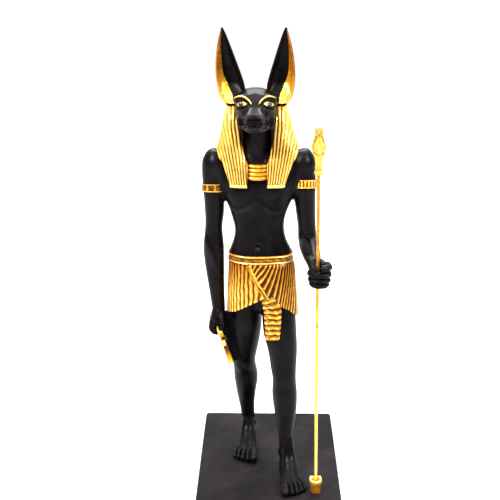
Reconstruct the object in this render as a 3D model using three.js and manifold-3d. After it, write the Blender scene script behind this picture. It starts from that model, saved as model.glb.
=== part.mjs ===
// A standing jackal-headed statuette in black and gold cast resin, on a flat black slab.
// The figure strides with its left foot forward. Its left fist holds a thin metal staff with
// an animal-head finial, which stands in a small cup, and its right fist holds an ankh by the loop.
// Millimetres, +Z up. The figure faces -Y, and +X is its own left. The origin is at the middle of
// the slab's underside.
import * as THREE from "three";
import { mergeVertices } from "three/addons/utils/BufferGeometryUtils.js";
import Module from "manifold-3d";

const wasm = await Module();
wasm.setup();

// The slab
const BASE_WIDTH = 92;
const BASE_DEPTH = 130;
const BASE_HEIGHT = 12;
const BASE_CORNER = 2.5;
const BASE_EDGE = 0.8;

// Where the figure stands on the slab: its middle is left of centre, to leave room for the staff
const FIGURE_X = -7;
const JOINT_GAP = 0.3;
// Edges shorter than this, where sub-shapes run through each other, are closed up
const SLIVER = 0.12;

// The staff: it leans a little, and these heights are along it from the slab's top
const STAFF_X = 30.05;
const STAFF_Y = -45;
const STAFF_LEAN = 0.0108;
const ROD_RADIUS = 1;
const ROD_TOP = 211;
const STAFF_HEAD_FOOT = 206.5;
const STAFF_HEAD_HEIGHT = 27.5;
const CUP_HEIGHT = 8;
const CUP_TOP_HALF = 3.5;
const CUP_FOOT_HALF = 2.75;
const CUP_BORE_RADIUS = 2.5;
const CUP_FLOOR = 1.8;

// The ankh: its plate leans out at the foot, and hangs by the loop from the right fist
const ANKH_PLACE = [-21.8, -1.2, 86.1];
const ANKH_LEAN = 0.278;
const ANKH_THICKNESS = 3.3;

// Heights on the figure, above the slab's top
const BELT_TOP = 147.2;
const BELT_FOOT = 141.8;
const KILT_LOWEST = 102;
const SASH_TOP = 120.6;
const SASH_FOOT = 93;
const COLLAR_TOP = 206.4;
const COLLAR_FOOT = 197.4;
const NECK_TURN = 206;

// The head and wig lean to the figure's right about the base of the neck, and turn a little that way
const HEAD_LEAN = 0.035;
const HEAD_TURN = 0.03;
const HEAD_OFFSET = -0.4;

const BLACK = { color: 0x1b1a1c, roughness: 0.42, metalness: 0 };
const GOLD = { color: 0xc8922e, roughness: 0.3, metalness: 1 };

const X_AXIS = new THREE.Vector3(1, 0, 0);
const TURN = 2 * Math.PI;

const clamp = THREE.MathUtils.clamp;
const lerp = THREE.MathUtils.lerp;
const smooth = THREE.MathUtils.smoothstep;
const range = (count) => Array.from({ length: count }, (_, i) => i);
const bump = (distance, reach) => Math.exp(-((distance / reach) ** 2));

// Rows of numbers along a smooth curve through the keyed rows
function through(keys, count) {
  const last = keys.length - 1;
  return range(count).map((i) => {
    const along = (i / (count - 1)) * last;
    const k = Math.min(Math.floor(along), last - 1);
    const t = along - k;
    const [p, q, r, s] = [k - 1, k, k + 1, k + 2].map((j) => keys[clamp(j, 0, last)]);
    return q.map((_, c) => {
      const slopeIn = (r[c] - p[c]) / 2;
      const slopeOut = (s[c] - q[c]) / 2;
      const rise = r[c] - q[c];
      const bend = 3 * rise - 2 * slopeIn - slopeOut;
      return q[c] + t * (slopeIn + t * (bend + t * (slopeIn + slopeOut - 2 * rise)));
    });
  });
}

// A number read off rows of [position, value] in rising order, with straight stretches between them
function lookUp(table, position) {
  const k = clamp(table.findIndex(([at]) => at >= position), 1, table.length - 1);
  const [[from, low], [to, high]] = [table[k - 1], table[k]];
  return lerp(low, high, clamp((position - from) / (to - from), 0, 1));
}

// A closed skin over rings of equally many points, with a fan over each end
function skin(rings) {
  const sides = rings[0].length;
  const middles = [rings[0], rings.at(-1)].map((ring) =>
    ring.reduce((sum, p) => sum.add(p), new THREE.Vector3()).divideScalar(sides));
  const points = [...rings.flat(), ...middles];
  const index = [];
  for (let j = 0; j < sides; j++) {
    const next = (j + 1) % sides;
    for (let i = 0; i < rings.length - 1; i++) {
      const [a, b, c, d] = [i * sides + j, i * sides + next, (i + 1) * sides + next, (i + 1) * sides + j];
      index.push(a, b, c, a, c, d);
    }
    const top = (rings.length - 1) * sides;
    index.push(points.length - 2, next, j, points.length - 1, top + j, top + next);
  }
  return new THREE.BufferGeometry().setFromPoints(points).setIndex(index);
}

// A closed geometry as a solid that faces outwards
function solid(geometry) {
  const bare = geometry.clone();
  bare.deleteAttribute("normal");
  bare.deleteAttribute("uv");
  const merged = mergeVertices(bare, 1e-4);
  const vertProperties = merged.attributes.position.array;
  const triVerts = new Uint32Array(merged.index.array);
  const make = () => new wasm.Manifold(new wasm.Mesh({ numProp: 3, vertProperties, triVerts }));
  const made = make();
  if (made.volume() > 0) return made;
  for (let i = 0; i < triVerts.length; i += 3) {
    [triVerts[i + 1], triVerts[i + 2]] = [triVerts[i + 2], triVerts[i + 1]];
  }
  return make();
}

const joined = (pieces) => pieces.reduce((whole, piece) => whole.add(piece));

function geometryOf(manifold) {
  const mesh = manifold.getMesh();
  return new THREE.BufferGeometry()
    .setAttribute("position", new THREE.BufferAttribute(Float32Array.from(mesh.vertProperties), 3))
    .setIndex(new THREE.BufferAttribute(Uint32Array.from(mesh.triVerts), 1));
}

// A level ring about (x, y): front and back are its reach towards -Y and +Y
function levelRing(sides, z, { x = 0, y = 0, half, front, back = front, square = 2, shape = (p) => p }) {
  return range(sides).map((j) => {
    const angle = (j / sides) * TURN;
    const [c, s] = [Math.cos(angle), Math.sin(angle)];
    const round = (v) => Math.sign(v) * Math.abs(v) ** (2 / square);
    return shape(new THREE.Vector3(x + half * round(c), y + (s < 0 ? front : back) * round(s), z));
  });
}

// A limb along keyed rows [x, y, z, half-size across, half-size the other way]
function limb(keys, { rings = 10, sides = 12, across = X_AXIS } = {}) {
  const rows = through(keys, rings);
  const places = rows.map(([x, y, z]) => new THREE.Vector3(x, y, z));
  return solid(skin(rows.map(([, , , a, b], i) => {
    const along = places[Math.min(i + 1, rings - 1)].clone().sub(places[Math.max(i - 1, 0)]).normalize();
    const u = across.clone().addScaledVector(along, -across.dot(along)).normalize();
    const v = along.clone().cross(u);
    return range(sides).map((j) => {
      const angle = (j / sides) * TURN;
      const round = places[i].clone().addScaledVector(u, a * Math.cos(angle));
      return round.addScaledVector(v, b * Math.sin(angle));
    });
  })));
}

// A rounded lump: an ellipsoid of the given half-sizes, turned about X, Y and Z
function lump([x, y, z], [a, b, c], { turn = [0, 0, 0], around = 8, down = 6 } = {}) {
  const place = new THREE.Matrix4().compose(
    new THREE.Vector3(x, y, z),
    new THREE.Quaternion().setFromEuler(new THREE.Euler(...turn)),
    new THREE.Vector3(a, b, c));
  return solid(new THREE.SphereGeometry(1, around, down).applyMatrix4(place));
}

// The head and what it carries lean and turn together about the base of the neck
function leaned(p) {
  p.x += HEAD_OFFSET + p.y * HEAD_TURN - Math.max(p.z - NECK_TURN, 0) * HEAD_LEAN;
  return p;
}
const leanedRings = (rings) => rings.map((ring) => ring.map((p) => leaned(p.clone())));

// Trunk from the hips to the shoulders: [height, middle x, half-width, front reach, back reach]
const TRUNK = [
  [124, 2.2, 20.5, 13.5, 16], [136, 1.8, 20.4, 13.2, 15.5], [147, 1.3, 19.8, 12.6, 12.5],
  [154, 0.8, 17.1, 12.2, 10.2], [162, 0.5, 15.6, 11.8, 9.4], [170, -0.1, 16.8, 12, 10.6],
  [178, 0, 19.4, 12.8, 12.4], [185, 0, 22.6, 13.6, 13.4], [193, 0, 26.2, 14, 13.8],
  [200, 0, 29, 12.6, 12.2], [206, 0, 29.6, 10.4, 10.4], [210, 0, 27.6, 8.6, 8.8],
  [213, 0, 22, 6.4, 6.8],
];
const PEC_HEIGHT = 191;
const PEC_SPREAD = 9.5;
const PEC_SWELL = 1.5;

function trunk() {
  const swell = (p) => {
    if (p.y < 0) {
      const breast = bump(Math.abs(p.x) - PEC_SPREAD, 7.5) * bump(p.z - PEC_HEIGHT, 8);
      const ribs = 0.6 * bump(p.x, 14) * bump(p.z - 180, 4);
      p.y -= PEC_SWELL * breast - ribs;
    }
    return p;
  };
  return solid(skin(through(TRUNK, 13).map(([z, x, half, front, back]) =>
    levelRing(20, z, { x, half, front, back, square: 2.5, shape: swell }))));
}

function neck() {
  const keys = [[203, 12, 10.5], [209, 10, 9.6], [216, 9.3, 9], [232, 9.6, 9.6]];
  return solid(skin(leanedRings(keys.map(([z, half, depth]) => levelRing(14, z, { half, front: depth })))));
}

// Legs: [x, y, z, half-width, half-depth] down each leg
const RIGHT_LEG = [
  [-8.4, 1, 128, 10, 11.2], [-9.5, 5.8, 100, 10.2, 10.8], [-9.6, 9, 85, 9.4, 10.2],
  [-10.3, 12, 70, 7.8, 9], [-9.6, 13.5, 62, 7.3, 8.6], [-8.8, 15.6, 53, 7.7, 9.2], [-8.4, 18, 41, 6.7, 8.4],
  [-7.8, 19.8, 29, 5.1, 6.2], [-6.9, 21.7, 17.7, 4.5, 5.2], [-6.9, 22.4, 8, 4, 5.4],
];
const LEFT_LEG = [
  [12.2, -1, 128, 10, 11.2], [13.5, -6.5, 99, 10.8, 11.6], [15.2, -9.2, 84, 9.1, 10.7],
  [16, -11.4, 71, 7.8, 9.2], [16.8, -12.8, 63, 7.2, 8.6], [17.1, -13.4, 54, 7.8, 9.2],
  [17.6, -15.2, 43, 6.9, 8.4], [17.8, -17.8, 31, 5, 6.2], [18.1, -19.6, 20, 4.3, 5.2],
  [18.3, -20.4, 8, 4, 5.4],
];
const leg = (keys) => limb(keys, { rings: 11, sides: 12 });

// A foot along its own axis from the heel: [distance, half-width, height]
const FOOT = [
  [0, 3, 6], [3, 5, 11], [10, 5.5, 15], [17, 5.8, 13.5], [24, 6.8, 9.6], [31, 7.9, 6.4], [36, 8, 4.4],
];
const TOES = [
  { across: -5.7, tip: 42, half: 2.6, high: 2.6 }, { across: -1.8, tip: 41.2, half: 1.8, high: 2.1 },
  { across: 1.5, tip: 40.1, half: 1.7, high: 2 }, { across: 4.6, tip: 38.5, half: 1.6, high: 1.9 },
  { across: 7.3, tip: 36.2, half: 1.5, high: 1.8 },
];
const TOE_LENGTH = 5;
const SOLE_ROUNDING = 0.9;
const RIGHT_FOOT = { heel: [-6.7, 31], turn: -0.05, bigToeSide: 1 };
const LEFT_FOOT = { heel: [18.4, -11.5], turn: 0.13, bigToeSide: -1 };

// bigToeSide is 1 where the big toe is on the +X side of the foot
function foot({ heel, turn, bigToeSide }) {
  const sole = skin(through(FOOT, 8).map(([along, half, high]) =>
    range(12).map((j) => {
      const angle = (j / 12) * TURN;
      const rise = Math.sin(angle);
      const z = SOLE_ROUNDING + rise * (rise > 0 ? high - SOLE_ROUNDING : SOLE_ROUNDING);
      return new THREE.Vector3(half * Math.cos(angle), -along, z);
    })));
  const toes = TOES.map(({ across, tip, half, high }) =>
    lump([-bigToeSide * across, TOE_LENGTH - tip, high], [half, TOE_LENGTH, high], { around: 7, down: 4 }));
  const place = new THREE.Matrix4().makeRotationZ(turn).setPosition(...heel, 0);
  return solid(geometryOf(joined([solid(sole), ...toes])).applyMatrix4(place));
}

// Arms: [x, y, z, half-width, half-depth]
const RIGHT_ARM = [
  [-25.6, 0, 212.8, 3.6, 4], [-26.2, 0, 209.8, 6.8, 7.2], [-27.2, 0, 203, 8.3, 8.8],
  [-28.2, 0, 193, 7.2, 8.2], [-28.1, 0.6, 182, 6.5, 7.2], [-28, 1.6, 172, 6.2, 6.6],
  [-28.6, 2.6, 162, 5.6, 6.1], [-28.8, 2.6, 149, 6.7, 6.8], [-28.2, 1.8, 136, 6.2, 6.2],
  [-27, 1, 120, 5, 5.4], [-25.9, 0.4, 107, 4.3, 5.2], [-26.2, 0, 98, 4.5, 6.2],
];
const LEFT_UPPER_ARM = [
  [25.6, 0, 212.8, 3.6, 4], [26.4, 0, 209.8, 6.8, 7.2], [27.2, 0, 203, 8, 8.8], [28.4, 0.2, 193, 7.3, 8.2],
  [28.9, 1, 182, 6.8, 7.4], [29.7, 2, 172, 6.2, 6.8], [30.6, 2.8, 162, 5.8, 6.5], [31, 2.9, 154, 5.9, 6.6],
  [31.2, 2.6, 148.2, 3.4, 3.8],
];
const LEFT_FOREARM = [
  [31, 9, 153, 2.6, 2.8], [31.1, 5, 152.8, 5.4, 5.6], [31.3, 0, 152.2, 6, 6.4],
  [32.2, -6, 151.2, 6.2, 6.4], [33.2, -16, 149.4, 5.6, 5.8], [34, -26, 148, 4.6, 4.6],
  [34.5, -33, 147.2, 4.2, 5], [35.6, -40, 146.6, 4.8, 7],
];

// The right fist hangs at the thigh: its fingers lie side by side along Y, and curl in below the palm
const RIGHT_FIST = [-27.2, -0.4, 94.5];
function rightFist() {
  const [x, y, z] = RIGHT_FIST;
  const palm = limb([
    [x + 1.2, y + 0.6, z + 12, 4.2, 5], [x + 0.6, y, z + 6, 4.7, 6.8],
    [x, y, z, 4.8, 7.2], [x + 0.2, y, z - 2.8, 3.6, 6],
  ], { rings: 5, sides: 10 });
  const fingers = range(4).map((i) =>
    lump([x, y - 5.1 + 3.4 * i, z - 0.2 + 0.4 * i], [4.9, 2, 4.2], { around: 8, down: 5 }));
  const thumb = limb([
    [x + 3.2, y - 3.4, z + 9, 1.9, 2.2], [x + 2.9, y - 5.6, z + 5.4, 2.1, 2.4],
    [x + 2, y - 6.9, z + 2.4, 1.5, 1.6],
  ], { rings: 4, sides: 8 });
  return joined([palm, ...fingers, thumb]);
}

// The left fist is upright round the staff: its fingers lie one above another
const LEFT_FIST = [36.2, STAFF_Y, 146];
function leftFist() {
  const [x, y, z] = LEFT_FIST;
  const palm = lump([x + 0.7, y + 2.2, z + 0.4], [6.5, 7, 8.8], { around: 10, down: 6 });
  const fingers = range(4).map((i) => {
    const size = [7.2 - 0.4 * i, 5.9 - 0.25 * i, 2.75];
    return lump([x + 0.4, y - 0.6, z + 5.9 - 3.9 * i], size, { around: 10, down: 6 });
  });
  const thumb = lump([x - 3.4, y - 0.2, z + 7.2], [2.7, 6.2, 2.6], { turn: [0.35, 0, 0.4], down: 5 });
  return joined([palm, ...fingers, thumb]);
}

// Head: [y, middle height, half-width, reach up, reach down] from the back to the nose
const SKULL = [
  [12, 238, 8, 9, 10], [6, 238, 12, 12.2, 13], [-2, 238.5, 13.6, 12.6, 13.5],
  [-9, 238, 13.2, 11.8, 12], [-14, 237.6, 11.2, 10, 9], [-19, 237, 8.6, 7.6, 5.6],
  [-25, 236.8, 7.4, 5.8, 4.6], [-31, 236.6, 7.2, 4.8, 4.4], [-34.6, 236.8, 5.6, 3.8, 3.8],
  [-36, 237.2, 2.8, 2.4, 2.4],
];
const JAW = [[-6, 229.8, 9.6, 5.2], [-14, 230.2, 8.7, 4.3], [-23, 231.1, 7, 3.2], [-31.6, 232, 5.4, 2.5]];
const EYE_PLACE = [8, -14.6, 242.4];
const EYE_SIZE = [2.9, 2, 1.6];

function head() {
  const skull = through(SKULL, 12).map(([y, z, half, up, down]) =>
    range(16).map((j) => {
      const angle = (j / 16) * TURN;
      const rise = Math.sin(angle);
      return leaned(new THREE.Vector3(half * Math.cos(angle), y, z + rise * (rise > 0 ? up : down)));
    }));
  const jaw = JAW.map(([y, z, ...sizes]) => [leaned(new THREE.Vector3(0, y, z)).x, y, z, ...sizes]);
  const eyes = [-1, 1].map((side) => {
    const [across, y, z] = EYE_PLACE;
    const place = leaned(new THREE.Vector3(side * across, y, z));
    return lump([place.x, y, z], EYE_SIZE, { turn: [0, 0, side * 0.5], around: 7, down: 4 });
  });
  const nosePlace = leaned(new THREE.Vector3(0, -35.2, 238.6));
  const nose = lump([nosePlace.x, nosePlace.y, nosePlace.z], [4, 1.9, 2.4], { around: 8, down: 5 });
  return joined([solid(skin(skull)), limb(jaw, { rings: 4, sides: 10 }), ...eyes, nose]);
}

// Ears, [height, inner edge, outer edge], are cups that open forwards
const EAR = [
  [239.5, 12, 17.5], [242.5, 8.5, 20.5], [247, 6.6, 22.4], [252.5, 6.8, 23.6], [259, 8.6, 24.1],
  [267, 11.3, 23.8], [276, 14.4, 22.5], [283, 17, 20.8], [287.2, 18.9, 19.7],
];
const EAR_RIM = 1.5;
const EAR_BACK = 6;
const EAR_FRONT = 2;
const SCOOP_FOOT = 244;
const SCOOP_TOP = 284.5;

function ear(side) {
  const rings = (wall, front, back, foot, top) => leanedRings(through(EAR, 10)
    .filter(([z]) => z > foot && z < top)
    .map(([z, inner, outer]) => {
      const half = (outer - inner) / 2 - wall;
      const depth = clamp((outer - inner) / 14, 0.15, 1);
      const x = side * (inner + outer) / 2;
      return levelRing(10, z, { x, y: 1, half, front: front(depth), back: back(depth) });
    }));
  const shell = skin(rings(0, (d) => EAR_FRONT * d, (d) => EAR_BACK * d, 0, Infinity));
  const scoop = skin(rings(EAR_RIM, () => 9, (d) => EAR_BACK * d - EAR_RIM, SCOOP_FOOT, SCOOP_TOP));
  return solid(shell).subtract(solid(scoop));
}

// Wig, level by level: inner and outer corners of a lappet's front, the reach at the back, and what
// the rim stands proud by
const WIG = [
  { z: 192.2, inner: [6.2, -17], outer: [16.2, -15.4], back: 16.2, proud: 0.5 },
  { z: 193.9, inner: [6.2, -17], outer: [16.2, -15.4], back: 16.2, proud: 0.5 },
  { z: 194.3, inner: [6.2, -17], outer: [16.4, -15.2], back: 16.2, proud: 0 },
  { z: 206, inner: [6.1, -15.4], outer: [21, -10.5], back: 17, proud: 0 },
  { z: 213, inner: [8.1, -13.2], outer: [24.6, -6.4], back: 17.9, proud: 0 },
  { z: 225, inner: [10.4, -10.4], outer: [21.6, -4.5], back: 18.3, proud: 0 },
  { z: 236, inner: [12.6, -6.6], outer: [18.9, -2], back: 17.8, proud: 0 },
  { z: 242.6, inner: [12, 5], outer: [16.8, 5.4], back: 16.8, proud: 0 },
  { z: 248.8, inner: [8, 4], outer: [12.4, 4.2], back: 13.6, proud: 0 },
];
const LAPPET_STRANDS = 7;
const BACK_STRANDS = 8;
const STRAND_DEPTH = 0.45;
// What each half of the wig runs past the middle, and how far forward its inside reaches beside the
// neck and, lower down, inside the chest
const WIG_OVERLAP = 0.2;
const WIG_HOLLOW = -3;
const WIG_ROOT = -10;

function wigHalf(side) {
  return solid(skin(leanedRings(WIG.map(({ z, inner, outer, back, proud }) => {
    const front = new THREE.QuadraticBezierCurve(
      new THREE.Vector2(...inner),
      new THREE.Vector2((inner[0] + outer[0]) / 2, inner[1] - 0.4),
      new THREE.Vector2(...outer));
    const behind = new THREE.CubicBezierCurve(
      new THREE.Vector2(...outer),
      new THREE.Vector2(outer[0] * 1.08, lerp(outer[1], back, 0.75)),
      new THREE.Vector2(outer[0] * 0.8, back),
      new THREE.Vector2(-WIG_OVERLAP, back));
    const steps = (curve, strands) => range(2 * strands + 1).map((i) => {
      const t = i / (2 * strands);
      const along = curve.getTangent(t);
      const out = proud + (i % 2 ? STRAND_DEPTH : 0);
      const p = curve.getPoint(t);
      return new THREE.Vector3(side * (p.x + along.y * out), p.y - along.x * out, z);
    });
    const inside = Math.max(z < COLLAR_TOP ? WIG_ROOT : WIG_HOLLOW, inner[1] + 1);
    return [
      ...steps(front, LAPPET_STRANDS), ...steps(behind, BACK_STRANDS).slice(1),
      new THREE.Vector3(-side * WIG_OVERLAP, inside, z), new THREE.Vector3(side * inner[0], inside, z),
    ];
  }))));
}

// Collar: rows of beads, each a raised band, between the lappets
const COLLAR_ROWS = 4;
function collar() {
  const pitch = (COLLAR_TOP - COLLAR_FOOT) / COLLAR_ROWS;
  const levels = range(COLLAR_ROWS).flatMap((row) => [
    [row + 0.05, 0], [row + 0.35, 0.55], [row + 0.8, 0.5]]);
  return solid(skin(levels.map(([at, proud]) => {
    const z = COLLAR_FOOT + at * pitch;
    const front = lerp(15.7, 12.4, at / COLLAR_ROWS) + proud;
    return leanedRings([levelRing(10, z, { half: 10, front, back: 3, square: 2.6 })])[0];
  })));
}

// Armlets: a band with raised rims and upright ribs round each upper arm, its front tipped up
const ARMLET_STEPS = [[-1, 0.9], [-0.66, 1], [-0.56, 0.5], [0.56, 0.5], [0.66, 1], [1, 0.9]];
const ARMLET_TIP = 0.17;
function armlet({ x, z, half, depth, high, ribs }) {
  const sides = ribs * 2;
  return solid(skin(ARMLET_STEPS.map(([at, proud]) =>
    range(sides).map((j) => {
      const angle = (j / sides) * TURN;
      const out = proud + (j % 2 && Math.abs(at) < 0.6 ? 0.35 : 0);
      const y = (depth + out) * Math.sin(angle);
      return new THREE.Vector3(x + (half + out) * Math.cos(angle), y, z + at * high / 2 - ARMLET_TIP * y);
    }))));
}
const ARMLETS = [
  { x: -28.2, z: 188.4, half: 6.8, depth: 7.7, high: 5.2, ribs: 9 },
  { x: 28.7, z: 191.2, half: 7.1, depth: 8, high: 5.6, ribs: 12 },
];

// Kilt. Angles go round it from the front towards +X, in degrees
const radians = THREE.MathUtils.degToRad;
const KILT_SQUARE = 2.4;
const BORDER_START = -17;
const BORDER_END = 6;
const BORDER_TOP = 141.6;
const BORDER_FOOT = 120.5;
const BORDER_RADIUS = 0.65;
const PANEL_END = 125;
const PANEL_PROUD = 1.2;
const PLEAT_DEPTH = 0.5;
const PANEL_PLEATS = 16;
const SKIRT_PLEATS = 26;
const HEM = [
  [-235, 102], [-180, 102], [-140, 103], [-90, 107], [-67, 108.4], [-50, 109.9], [-38, 111.7],
  [-19, 115.2], [-7, 117.7], [BORDER_END, BORDER_FOOT], [17.5, 117.2], [30, 114.7], [40.5, 112.7],
  [56, 108.4], [90, 103.5], [125, 102],
];
// Where a pleat of the overlap starts on the belt, and where it ends on the border or the hem
const PLEAT_ENDS = [
  [BORDER_START, BORDER_START], [3.5, -8.5], [14, -4.3], [21, 0.3], [29, BORDER_END], [37, 17], [43, 24],
  [53, 31], [85, 56], [110, 100], [PANEL_END, PANEL_END],
];

// Middle, half-width and reach of the kilt at the belt and at its lowest edge
const KILT_MIDDLE = [1.35, 2.6];
const KILT_HALF = [20, 22.9];
const KILT_FRONT = [13.2, 18.6];
const KILT_BACK = [14.4, 21.8];
const KILT_FLARE = 0.85;

function kiltPoint(degrees, z, out) {
  const t = (BELT_FOOT - z) / (BELT_FOOT - KILT_LOWEST);
  const round = (v) => Math.sign(v) * Math.abs(v) ** (2 / KILT_SQUARE);
  const across = round(Math.sin(radians(degrees)));
  const ahead = round(Math.cos(radians(degrees)));
  const reach = lerp(...(ahead > 0 ? KILT_FRONT : KILT_BACK), Math.max(t, 0) ** KILT_FLARE);
  const x = lerp(...KILT_MIDDLE, t) + (lerp(...KILT_HALF, t) + out) * across;
  return new THREE.Vector3(x, -(reach + out) * ahead, z);
}

function kilt() {
  const pleated = range(2 * SKIRT_PLEATS + 1).map((i) => ({
    angle: lerp(BORDER_END, PANEL_END - 360, i / (2 * SKIRT_PLEATS)),
    out: i % 2 ? PLEAT_DEPTH : 0,
  }));
  const covered = range(7).map((i) => ({
    angle: lerp(PANEL_END - 360, BORDER_END - 360, (i + 1) / 8),
    out: 0,
  }));
  const columns = [...pleated, ...covered].reverse();
  const hemAt = (angle) => lookUp(HEM, angle < -235 ? angle + 360 : angle);
  const rows = [[0, 0], [0.5, 0], [1, 0], [1.01, -1.9]];
  const skirt = solid(skin([
    ...rows.map(([t, inset]) => columns.map(({ angle, out }) =>
      kiltPoint(angle, lerp(BELT_FOOT + 1, hemAt(angle), t), (t > 0 ? out : 0) + inset))),
    columns.map(({ angle }) => kiltPoint(angle, 117, -9)),
  ]));

  const ends = range(2 * PANEL_PLEATS + 1).map((i) => {
    const top = lerp(BORDER_START, PANEL_END, i / (2 * PANEL_PLEATS));
    const foot = lookUp(PLEAT_ENDS, top);
    const onBorder = (foot - BORDER_START) / (BORDER_END - BORDER_START);
    const height = onBorder < 1 ? lerp(BORDER_TOP, BORDER_FOOT, onBorder) : lookUp(HEM, foot);
    const fade = 1 - smooth(top, 80, PANEL_END);
    return { top, foot, height: height - 0.3, out: PANEL_PROUD * fade + (i % 2 ? PLEAT_DEPTH : 0) };
  });
  const levels = [0, 0.33, 0.67, 1];
  const panel = solid(skin(ends.map(({ top, foot, height, out }) => {
    const at = (t, reach) => kiltPoint(lerp(top, foot, t), lerp(BELT_FOOT + 0.6, height, t), reach);
    return [...levels.map((t) => at(t, t > 0 ? out : 0.1)), ...levels.toReversed().map((t) => at(t, -0.7))];
  })));
  return skirt.add(panel);
}

function border() {
  const keys = range(4).map((i) => {
    const t = i / 3;
    const z = lerp(BORDER_TOP, BORDER_FOOT - 0.6, t);
    const p = kiltPoint(lerp(BORDER_START, BORDER_END, t), z, PANEL_PROUD + 0.2);
    return [...p.toArray(), BORDER_RADIUS, BORDER_RADIUS];
  });
  return limb(keys, { rings: 5, sides: 6 });
}

const BELT_STEPS = [[0, 0.4], [0.14, 1.1], [0.34, 0.5], [0.64, 0.5], [0.86, 1.1], [1, 0.4]];
function belt() {
  return solid(skin(BELT_STEPS.map(([t, out]) => {
    const z = lerp(BELT_FOOT, BELT_TOP, t);
    return range(28).map((j) => kiltPoint(-(j / 28) * 360, z, out));
  })));
}

// Sash: a pleated end of cloth that hangs down the front
const SASH_MIDDLE = [[93, 9.1], [97, 9.2], [107, 9.2], [114, 8.9], [117, 7.4], [120.6, 5.6]];
const SASH_HALF = [[93, 4.2], [97, 4.6], [107, 5.2], [114, 5.4], [117, 4.6], [120.6, 3.2]];
const SASH_RIBS = 8;
const SASH_FRONT = 20;
const SASH_BACK = 15;
function sash() {
  const levels = 2 * SASH_RIBS + 1;
  return solid(skin(range(levels).map((i) => {
    const z = lerp(SASH_FOOT, SASH_TOP, i / (levels - 1));
    const x = lookUp(SASH_MIDDLE, z);
    const half = lookUp(SASH_HALF, z) + (i % 2 ? 0.3 : 0);
    const reach = SASH_FRONT + (i % 2 ? 0.55 : 0);
    const y = -(reach + SASH_BACK) / 2;
    return levelRing(10, z, { x, y, half, front: (reach - SASH_BACK) / 2, square: 4 });
  })));
}

// Ankh: a flat plate, drawn looking along X, with its crossing at the origin
const LOOP_HALF = 6.2;
const LOOP_HEIGHT = 12;
const ARM_REACH = 7.4;
const STEM_LENGTH = 17.2;
const LIMB = 1.25;
const LIMB_END = 1.9;

function ankhSolid(grow) {
  const loop = (inset) => {
    const curve = new THREE.CubicBezierCurve(
      new THREE.Vector2(0, 0.4 + inset),
      new THREE.Vector2(LOOP_HALF * 1.1 - inset, LOOP_HEIGHT * 0.4),
      new THREE.Vector2(LOOP_HALF * 1.75 - inset * 1.5, LOOP_HEIGHT - inset),
      new THREE.Vector2(0, LOOP_HEIGHT - inset));
    const half = curve.getPoints(8);
    return [...half, ...half.slice(1, -1).reverse().map((p) => new THREE.Vector2(-p.x, p.y))];
  };
  const plate = (outline, hole) => {
    const shape = new THREE.Shape(outline);
    if (hole) shape.holes.push(new THREE.Path(hole));
    const depth = ANKH_THICKNESS + 2 * grow;
    const blank = new THREE.ExtrudeGeometry(shape, { depth, bevelEnabled: false });
    return solid(blank.translate(0, 0, -depth / 2));
  };
  const bar = (length) => {
    const [root, end, tip] = [LIMB + grow, LIMB_END + grow, length + grow];
    return [[-root, -1], [root, -1], [end, tip], [-end, tip]];
  };
  const turned = (outline, angle) =>
    outline.map(([u, v]) => new THREE.Vector2(u, v).rotateAround(new THREE.Vector2(), angle));
  const flat = joined([
    plate(loop(-grow), loop(2.1 + grow)),
    plate(turned(bar(STEM_LENGTH), Math.PI)),
    ...[-1, 1].map((side) => plate(turned(bar(ARM_REACH), (side * Math.PI) / 2))),
  ]);
  const basis = new THREE.Matrix4().makeBasis(
    new THREE.Vector3(0, 1, 0), new THREE.Vector3(0, 0, 1), new THREE.Vector3(1, 0, 0));
  const lean = new THREE.Matrix4().makeRotationY(-ANKH_LEAN).setPosition(...ANKH_PLACE);
  return solid(geometryOf(flat).applyMatrix4(basis).applyMatrix4(lean));
}

// A web of the same casting joins the ankh's foot and the fist to the thigh: [height, outer edge]
const WEB_LEVELS = [[70.6, -16.7], [84, -20.3], [92, -23.6], [105, -24.6]];
const WEB_ROOT = -12;
function web() {
  const outline = (edge) => [[edge, -1.2], [WEB_ROOT, 1.3], [WEB_ROOT, 5], [edge, 2.2]];
  const ring = ([z, edge]) => outline(edge).map(([x, y]) => new THREE.Vector3(x, y, z));
  return solid(skin(WEB_LEVELS.map(ring)));
}

// Clearance round the rod, upright and centred
function bore(length) {
  const radius = ROD_RADIUS + JOINT_GAP;
  return new THREE.CylinderGeometry(radius, radius, length, 12).rotateX(Math.PI / 2);
}

function figure() {
  const body = joined([
    trunk(), neck(), head(), ear(-1), ear(1), wigHalf(-1), wigHalf(1), collar(),
    leg(RIGHT_LEG), leg(LEFT_LEG), foot(RIGHT_FOOT), foot(LEFT_FOOT),
    limb(RIGHT_ARM, { rings: 12 }), limb(LEFT_UPPER_ARM, { rings: 10 }), limb(LEFT_FOREARM, { rings: 8 }),
    rightFist(), leftFist(), ...ARMLETS.map(armlet), kilt(), border(), belt(), sash(), web(),
  ]);
  const below = solid(new THREE.BoxGeometry(BASE_WIDTH, BASE_DEPTH, 20).translate(0, 0, -10));
  const rodHole = solid(bore(60)
    .rotateY(-STAFF_LEAN)
    .translate(STAFF_X - FIGURE_X - STAFF_LEAN * LEFT_FIST[2], STAFF_Y, LEFT_FIST[2]));
  const cut = body.subtract(below).subtract(rodHole).subtract(ankhSolid(JOINT_GAP));
  // A casting has no sealed pockets, so only its outer skin is kept
  const larger = (most, piece) => (piece.volume() > most.volume() ? piece : most);
  return geometryOf(cut.asOriginal().simplify(SLIVER).decompose().reduce(larger));
}

function rod() {
  const length = ROD_TOP - CUP_FLOOR - JOINT_GAP;
  return new THREE.CylinderGeometry(ROD_RADIUS, ROD_RADIUS, length, 12)
    .rotateX(Math.PI / 2)
    .translate(0, 0, CUP_FLOOR + JOINT_GAP + length / 2);
}

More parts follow.
